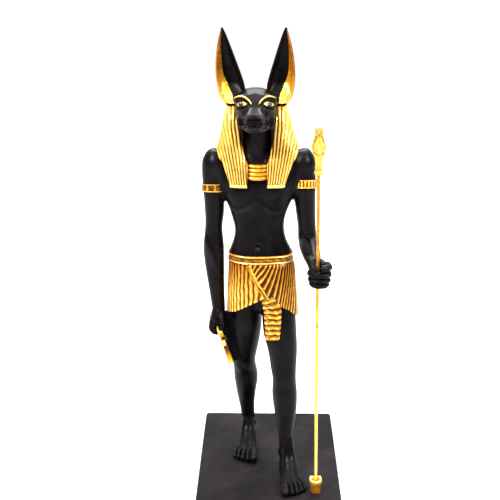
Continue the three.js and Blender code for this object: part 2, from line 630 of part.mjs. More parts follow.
// Staff head: a stylised animal with upright ears, [height, half-width, front reach, back reach]
const STAFF_HEAD = [
  [0, 2.1, 2.1, 2.1], [0.8, 2.6, 2.6, 2.6], [1.8, 2.6, 2.6, 2.6], [2.6, 2.1, 2.1, 2.1],
  [7, 2, 2.1, 2.1], [10.5, 2.6, 3, 2.8], [13.5, 3.6, 4.6, 3.6], [16.5, 4.3, 4.4, 3.8],
  [19, 3.6, 3.6, 3.6], [22, 2.6, 2.6, 2.8], [25, 2.4, 2.1, 2.5], [27.5, 2.7, 2, 2.4],
];
const SNOUT = [[0, -2, 16.5, 2.2, 2.2], [0, -5.5, 15, 1.8, 1.7], [0, -8.6, 13, 1.1, 1]];
const PARTING = [0.9, 12, 8];
function staffHead() {
  const body = solid(skin(STAFF_HEAD.map(([z, half, front, back]) =>
    levelRing(12, z, { half, front, back, square: 2.3 }))));
  const snout = limb(SNOUT, { rings: 4, sides: 8 });
  const parting = solid(new THREE.BoxGeometry(...PARTING).translate(0, 0, STAFF_HEAD_HEIGHT));
  const socket = solid(bore(2 * (ROD_TOP - STAFF_HEAD_FOOT + JOINT_GAP)));
  return geometryOf(body.add(snout).subtract(parting).subtract(socket)).translate(0, 0, STAFF_HEAD_FOOT);
}

// Cup: square with rounded corners, wider at the top, and bored round
function cup() {
  const levels = [
    [JOINT_GAP, CUP_FOOT_HALF], [CUP_HEIGHT * 0.8, CUP_TOP_HALF], [CUP_HEIGHT - 0.5, CUP_TOP_HALF],
    [CUP_HEIGHT, CUP_TOP_HALF - 0.3],
  ];
  const ring = ([z, half]) => levelRing(20, z, { half, front: half, square: 4.5 });
  const blank = solid(skin(levels.map(ring)));
  const depth = CUP_HEIGHT - CUP_FLOOR + 0.5;
  const drill = new THREE.CylinderGeometry(CUP_BORE_RADIUS, CUP_BORE_RADIUS - 0.5, depth, 16)
    .rotateX(Math.PI / 2)
    .translate(0, 0, CUP_FLOOR + depth / 2);
  return geometryOf(blank.subtract(solid(drill)));
}

function slab() {
  const shape = new THREE.Shape();
  const [w, d, r] = [BASE_WIDTH / 2, BASE_DEPTH / 2, BASE_CORNER];
  [[1, 1], [-1, 1], [-1, -1], [1, -1]].forEach(([sx, sy], i) =>
    shape.absarc(sx * (w - r), sy * (d - r), r, (i * Math.PI) / 2, ((i + 1) * Math.PI) / 2));
  return new THREE.ExtrudeGeometry(shape, {
    depth: BASE_HEIGHT - 2 * BASE_EDGE, curveSegments: 3,
    bevelThickness: BASE_EDGE, bevelSize: BASE_EDGE, bevelOffset: -BASE_EDGE, bevelSegments: 1,
  }).translate(0, 0, BASE_EDGE);
}

function named(name, geometry, look) {
  const mesh = new THREE.Mesh(geometry, new THREE.MeshStandardMaterial(look));
  mesh.name = name;
  return mesh;
}

const standing = new THREE.Group();
standing.position.set(FIGURE_X, 0, BASE_HEIGHT + JOINT_GAP);
standing.add(named("figure", figure(), BLACK), named("ankh", geometryOf(ankhSolid(0)), GOLD));

const staff = new THREE.Group();
staff.position.set(STAFF_X, STAFF_Y, BASE_HEIGHT);
staff.rotation.y = -STAFF_LEAN;
staff.add(
  named("staff_rod", rod(), GOLD),
  named("staff_head", staffHead(), GOLD),
  named("staff_foot", cup(), GOLD));

const statuette = new THREE.Group();
statuette.add(named("base", slab(), BLACK), standing, staff);
export default statuette;
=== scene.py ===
import logging
import math
from collections.abc import Callable
from dataclasses import dataclass, field
from enum import Enum

import bpy
import numpy as np
from mathutils import Matrix, Vector
from mathutils.bvhtree import BVHTree

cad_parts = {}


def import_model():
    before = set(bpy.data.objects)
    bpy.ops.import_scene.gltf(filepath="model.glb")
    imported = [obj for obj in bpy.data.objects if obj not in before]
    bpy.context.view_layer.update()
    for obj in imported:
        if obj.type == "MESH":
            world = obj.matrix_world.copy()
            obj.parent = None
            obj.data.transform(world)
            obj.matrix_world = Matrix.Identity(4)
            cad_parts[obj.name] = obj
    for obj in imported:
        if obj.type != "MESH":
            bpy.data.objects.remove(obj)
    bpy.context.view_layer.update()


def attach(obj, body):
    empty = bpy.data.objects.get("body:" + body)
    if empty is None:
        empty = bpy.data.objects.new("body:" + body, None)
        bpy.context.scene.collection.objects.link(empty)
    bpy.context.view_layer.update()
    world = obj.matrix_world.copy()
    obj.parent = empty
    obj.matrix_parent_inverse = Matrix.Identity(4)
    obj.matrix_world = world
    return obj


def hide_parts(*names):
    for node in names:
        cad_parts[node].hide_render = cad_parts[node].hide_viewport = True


log = logging.getLogger("statuette")

Row = tuple[float, ...]
Rows = list[Row]
Thing = bpy.types.Object

MM = 0.001
FIGURE_PLACE = (-7.0, 0.0, 12.3)
SLAB_TOP = 12.0
STAFF_PLACE = (30.05, -45.0, 12.0)
STAFF_LEAN = 0.0108
ROD_CLEARANCE = 1.3


class Paint(Enum):
    """What the figure's faces are finished in, as places in its list of materials."""

    RESIN = 0
    GOLD = 1
    EYE = 2


# Finishes


class Nodes:
    """A material under construction, as a tree of shader nodes."""

    def __init__(self, name: str) -> None:
        """Starts a material with a Principled shader and Object coordinates.

        Args:
            name: The material's name.
        """
        self.material = bpy.data.materials.new(name)
        self.material.use_nodes = True
        self.tree = self.material.node_tree
        self.shader = self.tree.nodes["Principled BSDF"]
        self.coordinates = self.tree.nodes.new("ShaderNodeTexCoord").outputs["Object"]

    def add(self, kind: str, settings: dict[str, object] | None = None, **inputs: object) -> bpy.types.Node:
        """Adds a node.

        Args:
            kind: The node type's identifier, without ShaderNode.
            settings: The node's own properties.
            inputs: Values or sockets for its inputs, named in lower case with _ for a space.

        Returns:
            The new node.
        """
        node = self.tree.nodes.new("ShaderNode" + kind)
        for key, value in (settings or {}).items():
            setattr(node, key, value)
        for key, value in inputs.items():
            name = key.replace("_", " ").lower()
            socket = next(s for s in node.inputs if s.name.lower() == name and s.enabled)
            self.feed(socket, value)
        return node

    def feed(self, socket: bpy.types.NodeSocket, value: object) -> None:
        """Gives an input a value, or links it to an output.

        Args:
            socket: The input.
            value: A number, a colour or an output socket.
        """
        if isinstance(value, bpy.types.NodeSocket):
            self.tree.links.new(value, socket)
        else:
            socket.default_value = value

    def noise(self, scale: float, detail: float = 3.0, roughness: float = 0.55) -> bpy.types.NodeSocket:
        """A noise over the object.

        Args:
            scale: Cells to the metre.
            detail: Octaves.
            roughness: How strong the finer octaves are.

        Returns:
            The noise's value, from 0 to 1.
        """
        node = self.add("TexNoise", vector=self.coordinates, scale=scale, detail=detail, roughness=roughness)
        return node.outputs["Fac"]

    def math(self, operation: str, first: object, second: object = 0.0, clamp: bool = False) -> bpy.types.NodeSocket:
        """Arithmetic on two values.

        Args:
            operation: The Math node's operation.
            first: A number or an output.
            second: A number or an output.
            clamp: Whether the result is kept from 0 to 1.

        Returns:
            The result.
        """
        node = self.add("Math", {"operation": operation, "use_clamp": clamp})
        self.feed(node.inputs[0], first)
        self.feed(node.inputs[1], second)
        return node.outputs[0]

    def ramp(self, value: bpy.types.NodeSocket, stops: list[tuple[float, tuple[float, float, float]]]) -> bpy.types.NodeSocket:
        """A value as a colour.

        Args:
            value: The value, from 0 to 1.
            stops: Places along the ramp and their colours.

        Returns:
            The colour.
        """
        node = self.add("ValToRGB", fac=value)
        elements = node.color_ramp.elements
        while len(elements) < len(stops):
            elements.new(0.5)
        for element, (place, colour) in zip(elements, stops):
            element.position = place
            element.color = (*colour, 1.0)
        return node.outputs["Color"]

    def spread(self, value: object, low: float, high: float) -> bpy.types.NodeSocket:
        """A value from 0 to 1 laid over another range.

        Args:
            value: The value.
            low: What 0 becomes.
            high: What 1 becomes.

        Returns:
            The new value.
        """
        node = self.add("MapRange", value=value, to_min=low, to_max=high)
        return node.outputs["Result"]

    def bumped(self, height: bpy.types.NodeSocket, distance: float, strength: float) -> bpy.types.NodeSocket:
        """A normal from a height.

        Args:
            height: The height, from 0 to 1.
            distance: How high 1 is, in metres.
            strength: How much of it shows.

        Returns:
            The normal.
        """
        node = self.add("Bump", height=height, distance=distance, strength=strength)
        return node.outputs["Normal"]

    def dress(self, **inputs: object) -> bpy.types.Material:
        """Feeds the Principled shader.

        Args:
            inputs: Values or sockets for its inputs, named in lower case with _ for a space.

        Returns:
            The finished material.
        """
        for key, value in inputs.items():
            name = key.replace("_", " ").lower()
            self.feed(next(s for s in self.shader.inputs if s.name.lower() == name), value)
        return self.material


@dataclass(frozen=True)
class SatinResin:
    """Black cast resin, rubbed to a satin, with painted shade in the hollows and a faint brown dust bloom and painted
    highlight on raised places.
    """

    name: str = "satin_black_resin"
    deep: tuple[float, float, float] = (0.0008, 0.0006, 0.0008)
    dark: tuple[float, float, float] = (0.0013, 0.0009, 0.0012)
    dust_and_highlight: tuple[float, float, float] = (0.022, 0.0165, 0.0205)
    gloss: tuple[float, float] = (0.28, 0.42)
    dull: float = 0.8

    def material(self) -> bpy.types.Material:
        """Makes the material."""
        nodes = Nodes(self.name)
        relief = nodes.add("Attribute", {"attribute_name": "relief"}).outputs["Fac"]
        cloud = nodes.math("SUBTRACT", nodes.noise(70.0, 4.0), 0.5)
        mottle_and_painted_light = nodes.math("MULTIPLY_ADD", cloud, 0.35)
        nodes.feed(mottle_and_painted_light.node.inputs[2], relief)
        grain = nodes.noise(1500.0, 3.0, 0.6)
        # Hollows are painted toward the near-black deep colour, painted shade; raised places toward the dust bloom,
        # with painted highlight.
        colour = nodes.ramp(mottle_and_painted_light, [(0.15, self.deep), (0.46, self.dark), (0.95, self.dust_and_highlight)])
        hollow = nodes.math("SUBTRACT", 0.5, relief, clamp=True)
        rough = nodes.math("MULTIPLY_ADD", hollow, self.dull)
        nodes.feed(rough.node.inputs[2], nodes.spread(nodes.noise(160.0, 3.0), *self.gloss))
        return nodes.dress(base_color=colour, roughness=rough, normal=nodes.bumped(grain, 0.00006, 0.35),
                           specular_ior_level=0.08)


@dataclass(frozen=True)
class SlabResin:
    """The slab's flat black resin, a little dusty."""

    name: str = "flat_black_resin"
    dark: tuple[float, float, float] = (0.0028, 0.0021, 0.0025)
    dust: tuple[float, float, float] = (0.0105, 0.0083, 0.0095)

    def material(self) -> bpy.types.Material:
        """Makes the material."""
        nodes = Nodes(self.name)
        cloud = nodes.noise(45.0, 5.0, 0.6)
        grain = nodes.noise(1900.0, 2.0, 0.6)
        colour = nodes.ramp(cloud, [(0.35, self.dark), (0.7, self.dust)])
        rough = nodes.spread(nodes.noise(220.0, 3.0), 0.72, 0.9)
        return nodes.dress(base_color=colour, roughness=rough, normal=nodes.bumped(grain, 0.00008, 0.5),
                           specular_ior_level=0.1)


@dataclass(frozen=True)
class AntiqueGold:
    """Hand-painted gold with a brown wash left in the hollows and a painted highlight on the ridges."""

    name: str = "antique_gold"
    wash: tuple[float, float, float] = (0.045, 0.011, 0.0015)
    amber: tuple[float, float, float] = (0.42, 0.135, 0.008)
    gold: tuple[float, float, float] = (0.92, 0.44, 0.030)
    painted_highlight: tuple[float, float, float] = (1.0, 0.75, 0.20)
    patchiness: float = 0.5

    def material(self) -> bpy.types.Material:
        """Makes the material."""
        nodes = Nodes(self.name)
        relief = nodes.add("Attribute", {"attribute_name": "relief"}).outputs["Fac"]
        patches = nodes.math("SUBTRACT", nodes.noise(260.0, 4.0, 0.65), 0.5)
        specks = nodes.math("SUBTRACT", nodes.noise(1300.0, 3.0, 0.6), 0.5)
        mottle_and_painted_light = nodes.math("MULTIPLY_ADD", patches, self.patchiness)
        nodes.feed(mottle_and_painted_light.node.inputs[2], relief)
        spotted = nodes.math("MULTIPLY_ADD", specks, 0.5 * self.patchiness)
        nodes.feed(spotted.node.inputs[2], mottle_and_painted_light)
        # High relief is painted toward the painted highlight colour; low relief takes the brown wash.
        colour = nodes.ramp(spotted, [(0.2, self.wash), (0.43, self.amber), (0.63, self.gold), (0.9, self.painted_highlight)])
        rough = nodes.spread(nodes.noise(420.0, 3.0), 0.22, 0.38)
        grain = nodes.noise(1700.0, 2.0, 0.6)
        metal = nodes.spread(nodes.math("MULTIPLY", spotted, 1.6, clamp=True), 0.2, 0.65)
        return nodes.dress(base_color=colour, metallic=metal, roughness=rough,
                           normal=nodes.bumped(grain, 0.00008, 0.5), specular_ior_level=0.3)


@dataclass(frozen=True)
class PaintedEye:
    """A gold eye with a black pupil that carries a white glint."""

    places: tuple[Row, Row]
    name: str = "painted_eye"
    pupil: float = 1.4

    def material(self) -> bpy.types.Material:
        """Makes the material."""
        nodes = Nodes(self.name)
        across = nodes.add("SeparateXYZ", vector=nodes.coordinates).outputs

        def near(place: Row, radius: float, shift: tuple[float, float] = (0.0, 0.0)) -> bpy.types.NodeSocket:
            """How far inside a painted dot a point is."""
            dx = nodes.math("SUBTRACT", across["X"], (place[0] + shift[0]) * MM)
            dz = nodes.math("SUBTRACT", across["Z"], (place[2] + shift[1]) * MM)
            square = nodes.math("ADD", nodes.math("MULTIPLY", dx, dx), nodes.math("MULTIPLY", dz, dz))
            return nodes.math("LESS_THAN", square, (radius * MM) ** 2)

        dots = nodes.math("ADD", near(self.places[0], self.pupil), near(self.places[1], self.pupil), clamp=True)
        glints = nodes.math("ADD", *(near(p, 0.17, (-0.3, 0.8)) for p in self.places), clamp=True)
        iris = nodes.ramp(nodes.noise(900.0), [(0.3, (0.50, 0.25, 0.035)), (0.7, (0.86, 0.56, 0.12))])
        dark = nodes.add("MixRGB", fac=dots, color1=iris, color2=(0.006, 0.005, 0.006, 1.0)).outputs[0]
        lit = nodes.add("MixRGB", fac=glints, color1=dark, color2=(0.95, 0.93, 0.88, 1.0)).outputs[0]
        metal = nodes.math("MULTIPLY", nodes.math("SUBTRACT", 1.0, dots), 0.45)
        return nodes.dress(base_color=lit, metallic=metal, roughness=0.36)


# Modelling


class Clay:
    """Ways to shape a piece. Pieces of the figure are shaped in millimetres, about its own middle."""

    @staticmethod
    def through(keys: Rows, count: int) -> np.ndarray:
        """Rows of numbers along a smooth curve through keyed rows.

        Args:
            keys: The keyed rows.
            count: How many rows to give.

        Returns:
            The rows, as an array.
        """
        k = np.array(keys, float)
        last = len(k) - 1
        along = np.linspace(0, last, count)
        i = np.minimum(along.astype(int), last - 1)
        t = (along - i)[:, None]
        p, q, r, s = (k[np.clip(i + d, 0, last)] for d in (-1, 0, 1, 2))
        enter, leave, rise = (r - p) / 2, (s - q) / 2, r - q
        return q + t * (enter + t * (3 * rise - 2 * enter - leave + t * (enter + leave - 2 * rise)))

    @staticmethod
    def mesh(name: str, points: np.ndarray, faces: list[tuple[int, ...]], paints: np.ndarray | None = None,
             relief: np.ndarray | None = None) -> Thing:
        """A mesh object with the figure's materials.

        Args:
            name: The object's name.
            points: Its vertices.
            faces: Its faces, as places in points.
            paints: The Paint value of each face.
            relief: How far out of a hollow each vertex is, from 0 to 1.

        Returns:
            The object.
        """
        data = bpy.data.meshes.new(name)
        data.from_pydata(points.tolist(), [], faces)
        for material in FINISHES:
            data.materials.append(material)
        if paints is not None:
            data.polygons.foreach_set("material_index", np.asarray(paints, np.int32))
        level = np.full(len(points), 0.8) if relief is None else relief
        data.attributes.new("relief", "FLOAT", "POINT").data.foreach_set("value", level.astype(np.float32).ravel())
        data.validate()
        made = bpy.data.objects.new(name, data)
        bpy.context.scene.collection.objects.link(made)
        return made

    @staticmethod
    def loft(name: str, rings: np.ndarray, paints: np.ndarray | None = None, relief: np.ndarray | None = None,
             cap_paint: Paint = Paint.RESIN) -> Thing:
        """A closed skin over rings of equally many points.

        Args:
            name: The object's name.
            rings: An array of rings of points.
            paints: The Paint value of the face after each point, ring by ring.
            relief: How far out of a hollow each point is.
            cap_paint: The paint on both ends.

        Returns:
            The object, with its faces outwards.
        """
        count, sides = rings.shape[:2]
        points = rings.reshape(-1, 3)
        j = np.arange(sides)
        after = (j + 1) % sides
        faces: list[tuple[int, ...]] = []
        for i in range(count - 1):
            low, high = i * sides, (i + 1) * sides
            faces += list(zip(low + j, low + after, high + after, high + j))
        faces += [tuple(j[::-1]), tuple((count - 1) * sides + j)]
        centre = points.mean(0)
        quads = np.array(faces[:-2])
        a, b, c, d = (points[quads[:, n]] - centre for n in range(4))
        volume = np.einsum("ij,ij->i", np.cross(b - a, c - a), a).sum() + np.einsum("ij,ij->i", np.cross(c - a, d - a), a).sum()
        if volume < 0:
            faces = [f[::-1] for f in faces]
        marks = np.full(len(faces), cap_paint.value)
        if relief is None and cap_paint is Paint.RESIN:
            relief = np.full(len(points), 0.5)
        if paints is not None:
            marks[:-2] = paints.reshape(-1)[: len(faces) - 2]
        return Clay.mesh(name, points, [tuple(int(v) for v in f) for f in faces], marks, relief)

    @staticmethod
    def limb(name: str, keys: Rows, rings: int = 40, sides: int = 36, across: Row = (1, 0, 0),
             paint: Paint = Paint.RESIN) -> Thing:
        """A limb along keyed rows.

        Args:
            name: The object's name.
            keys: Rows of x, y, z, half-size across and half-size the other way.
            rings: How many rings it has.
            sides: How many points a ring has.
            across: The direction of the first half-size.
            paint: Its paint.

        Returns:
            The object.
        """
        rows = Clay.through(keys, rings)
        places = rows[:, :3]
        along = np.gradient(places, axis=0)
        along /= np.linalg.norm(along, axis=1)[:, None]
        u = np.array(across, float) - (along @ np.array(across, float))[:, None] * along
        u /= np.linalg.norm(u, axis=1)[:, None]
        v = np.cross(along, u)
        turn = np.linspace(0, 2 * np.pi, sides, endpoint=False)
        rings_at = (places[:, None] + u[:, None] * (rows[:, 3, None, None] * np.cos(turn)[None, :, None])
                    + v[:, None] * (rows[:, 4, None, None] * np.sin(turn)[None, :, None]))
        paints = np.full((rings - 1, sides), paint.value)
        return Clay.loft(name, rings_at, paints, cap_paint=paint)

    @staticmethod
    def level_rings(rows: np.ndarray, sides: int, square: float = 2.0) -> np.ndarray:
        """Level rings.

        Args:
            rows: Rows of height, middle x, middle y, half-width, front reach and back reach.
            sides: How many points a ring has.
            square: 2 for ellipses, and more for squarer rings.

        Returns:
            The rings of points.
        """
        turn = np.linspace(0, 2 * np.pi, sides, endpoint=False)
        c, s = np.cos(turn), np.sin(turn)
        c, s = (np.sign(v) * np.abs(v) ** (2 / square) for v in (c, s))
        z, x, y, half, front, back = (rows[:, n, None] for n in range(6))
        reach = np.where(s < 0, front, back)
        return np.stack([x + half * c, y + reach * s, z + 0 * c], axis=2)

    @staticmethod
    def lump(place: Row, sizes: Row, turn: Row = (0, 0, 0)) -> Thing:
        """A rounded lump.

        Args:
            place: Its middle.
            sizes: Its half-sizes.
            turn: Its turns about X, Y and Z, in radians.

        Returns:
            The object.
        """
        bpy.ops.mesh.primitive_uv_sphere_add(segments=32, ring_count=18, radius=1, location=place, rotation=turn,
                                             scale=sizes)
        made = bpy.context.object
        bpy.ops.object.transform_apply(location=True, rotation=True, scale=True)
        return made

    @staticmethod
    def choose(*things: Thing) -> Thing:
        """Selects objects and nothing else; the first becomes the active one, and is given back."""
        bpy.ops.object.select_all(action="DESELECT")
        for thing in things:
            thing.select_set(True)
        bpy.context.view_layer.objects.active = things[0]
        return things[0]

    @staticmethod
    def join(things: list[Thing]) -> Thing:
        """Makes one object of several."""
        made = Clay.choose(*things)
        bpy.ops.object.join()
        return made

    @staticmethod
    def apply(thing: Thing, kind: str, **settings: object) -> Thing:
        """Adds a modifier and applies it.

        Args:
            thing: The object.
            kind: The modifier's type.
            settings: The modifier's properties.

        Returns:
            The object.
        """
        Clay.choose(thing)
        modifier = thing.modifiers.new(kind.lower(), kind)
        for key, value in settings.items():
            setattr(modifier, key, value)
        bpy.ops.object.modifier_apply(modifier=modifier.name)
        return thing

    @staticmethod
    def remesh(thing: Thing, size: float, rounds: int, factor: float = 0.5) -> Thing:
        """Melts an object's overlapping solids into one skin, and smooths it.

        Args:
            thing: The object.
            size: The new skin's cell size.
            rounds: How many times it is smoothed.
            factor: How much each time.

        Returns:
            The object.
        """
        Clay.apply(thing, "REMESH", mode="VOXEL", voxel_size=size)
        if rounds:
            Clay.apply(thing, "SMOOTH", factor=factor, iterations=rounds)
        return thing

    @staticmethod
    def combine(thing: Thing, other: Thing, operation: str = "UNION") -> Thing:
        """Joins another solid to an object, or cuts it away.

        Args:
            thing: The object.
            other: The other solid, which is used up.
            operation: UNION or DIFFERENCE.

        Returns:
            The object.
        """
        Clay.apply(thing, "BOOLEAN", operation=operation, solver="MANIFOLD", object=other, material_mode="TRANSFER")
        bpy.data.objects.remove(other)
        return thing

    @staticmethod
    def points(thing: Thing) -> np.ndarray:
        """The places of an object's vertices."""
        co = np.empty(len(thing.data.vertices) * 3)
        thing.data.vertices.foreach_get("co", co)
        return co.reshape(-1, 3)

    @staticmethod
    def normals(thing: Thing) -> np.ndarray:
        """The normals at an object's vertices."""
        no = np.empty(len(thing.data.vertices) * 3, np.float32)
        thing.data.vertices.foreach_get("normal", no)
        return no.reshape(-1, 3).astype(float)

    @staticmethod
    def reshape(thing: Thing, places: np.ndarray) -> Thing:
        """Moves an object's vertices to new places."""
        thing.data.vertices.foreach_set("co", places.ravel())
        thing.data.update()
        return thing

    @staticmethod
    def thin(thing: Thing, faces: int) -> Thing:
        """Brings an object down to about a number of triangles, where it has more."""
        thing.data.calc_loop_triangles()
        now = len(thing.data.loop_triangles)
        if now > faces:
            Clay.apply(thing, "DECIMATE", decimate_type="COLLAPSE", ratio=faces / now)
        return thing

    @staticmethod
    def painted(thing: Thing, paint: Paint) -> Thing:
        """Gives an object the figure's materials, and all its faces one of them."""
        thing.data.materials.clear()
        for material in FINISHES:
            thing.data.materials.append(material)
        thing.data.polygons.foreach_set("material_index", [paint.value] * len(thing.data.polygons))
        if "relief" not in thing.data.attributes:
            level = [0.5 if paint is Paint.RESIN else 0.8] * len(thing.data.vertices)
            thing.data.attributes.new("relief", "FLOAT", "POINT").data.foreach_set("value", level)
        return thing

    @staticmethod
    def toned(thing: Thing, tones: float | np.ndarray) -> Thing:
        """Writes how far out of a hollow each point counts as being."""
        count = len(thing.data.vertices)
        thing.data.attributes["relief"].data.foreach_set("value", np.broadcast_to(tones, count).astype(np.float32))
        return thing

    @staticmethod
    def outward(thing: Thing) -> Thing:
        """Turns an object's faces outwards."""
        Clay.choose(thing)
        bpy.ops.object.mode_set(mode="EDIT")
        bpy.ops.mesh.select_all(action="SELECT")
        bpy.ops.mesh.normals_make_consistent(inside=False)
        bpy.ops.object.mode_set(mode="OBJECT")
        return thing

    @staticmethod
    def largest(thing: Thing) -> Thing:
        """Keeps the largest connected part of an object, as a casting has no sealed pockets."""
        data = thing.data
        count = len(data.vertices)
        edges = np.empty(len(data.edges) * 2, np.int64)
        data.edges.foreach_get("vertices", edges)
        edges = edges.reshape(-1, 2)
        label = np.arange(count)
        while True:
            low = np.minimum(label[edges[:, 0]], label[edges[:, 1]])
            before = label.copy()
            np.minimum.at(label, edges[:, 0], low)
            np.minimum.at(label, edges[:, 1], low)
            label = label[label]
            if (label == before).all():
                break
        names, sizes = np.unique(label, return_counts=True)
        log.info("%s is in %d parts", thing.name, len(names))
        if len(names) > 1:
            keep = label == names[sizes.argmax()]
            Clay.choose(thing)
            bpy.ops.object.mode_set(mode="EDIT")
            bpy.ops.mesh.select_mode(type="VERT")
            bpy.ops.mesh.select_all(action="DESELECT")
            bpy.ops.object.mode_set(mode="OBJECT")
            data.vertices.foreach_set("select", ~keep)
            bpy.ops.object.mode_set(mode="EDIT")
            bpy.ops.mesh.delete(type="VERT")
            bpy.ops.object.mode_set(mode="OBJECT")
        return thing

    @staticmethod
    def placed(thing: Thing) -> Thing:
        """Puts a piece that was shaped about the figure's middle on the slab, in metres."""
        thing.data.transform(Matrix.Translation(Vector(FIGURE_PLACE) * MM) @ Matrix.Scale(MM, 4))
        return thing

    @staticmethod
    def sweep(name: str, path: np.ndarray, width: float, height: float, sides: int = 10,
              paint: Paint = Paint.GOLD, taper: bool = True) -> Thing:
        """A cord laid along a path.

        Args:
            name: The object's name.
            path: The points it runs through.
            width: Its half-width, across Y.
            height: Its half-size the other way.
            sides: How many points go round it.
            paint: Its paint.
            taper: Whether its ends run out thin.

        Returns:
            The object.
        """
        share = np.sin(np.linspace(0.12, np.pi - 0.12, len(path))) ** 0.4 if taper else np.ones(len(path))
        keys = [(*p, height * s, width * s) for p, s in zip(path, share)]
        return Clay.limb(name, keys, rings=len(path), sides=sides, across=(0, 1, 0), paint=paint)


def leaned(places: np.ndarray) -> np.ndarray:
    """The head and what it carries lean and turn a little about the base of the neck."""
    moved = places.copy()
    moved[..., 0] += -0.4 + places[..., 1] * 0.03 - np.maximum(places[..., 2] - 206, 0) * 0.035
    return moved


def around(angle: np.ndarray, square: float) -> tuple[np.ndarray, np.ndarray]:
    """How far across and ahead a squarish ring reaches at an angle from the front."""
    sine, cosine = np.sin(angle), np.cos(angle)
    return tuple(np.sign(v) * np.abs(v) ** (2 / square) for v in (sine, cosine))


FINISHES: list[bpy.types.Material] = []


class Chisel:
    """A skin under the modelling tools, which press lines into it or raise them, and paint them darker or lighter:
    painted shade and painted highlight on the black, the wash and painted highlight on the gold.
    """

    def __init__(self, thing: Thing) -> None:
        """Takes up a skin.

        Args:
            thing: The skin.
        """
        self.thing = thing
        self.places = Clay.points(thing)
        self.normals = Clay.normals(thing)
        self.tree = Skin.tree(thing)
        self.lifts = np.zeros(len(self.places))
        self.tones = np.full(len(self.places), 0.5)

    def stroke(self, path: Rows, reach: float, lift: float, tone: float | None = None) -> None:
        """Presses a line into the skin, or raises it.

        Args:
            path: The points the line runs through; it lies on the skin nearest to them.
            reach: How wide the line is to each side.
            lift: How far it is raised, or pressed in if it is negative.
            tone: How much lighter the skin is painted, as painted highlight, or darker, as painted shade; as the lift
                asks, if it isn't given.
        """
        keys = np.array(path, float)
        spots = [keys[:1]]
        for a, b in zip(keys[:-1], keys[1:]):
            steps = max(int(np.linalg.norm(b - a) / 1.2), 1)
            spots.append(a + (b - a) * np.linspace(0, 1, steps + 1)[1:, None])
        line = np.array([self.tree.find_nearest(Vector(spot))[0] for spot in np.concatenate(spots)])
        box = (self.places > line.min(0) - 2.6 * reach).all(1) & (self.places < line.max(0) + 2.6 * reach).all(1)
        near = self.places[box]
        distance = np.full(len(near), 1e9)
        for a, b in zip(line[:-1], line[1:]) if len(line) > 1 else [(line[0], line[0] + 1e-6)]:
            t = np.clip(((near - a) @ (b - a)) / max((b - a) @ (b - a), 1e-12), 0, 1)
            distance = np.minimum(distance, np.linalg.norm(near - a - t[:, None] * (b - a), axis=1))
        weight = np.exp(-((distance / reach) ** 2))
        self.lifts[box] += lift * weight
        self.tones[box] += (0.35 * np.clip(lift, -1, 0.6) if tone is None else tone) * weight

    def lay_down(self) -> Thing:
        """Gives the skin its new shape, and its painted shade and highlights as its relief."""
        Clay.reshape(self.thing, self.places + self.normals * self.lifts[:, None])
        level = np.clip(self.tones, 0, 1).astype(np.float32)
        self.thing.data.attributes.new("relief", "FLOAT", "POINT").data.foreach_set("value", level)
        return self.thing


# The black body


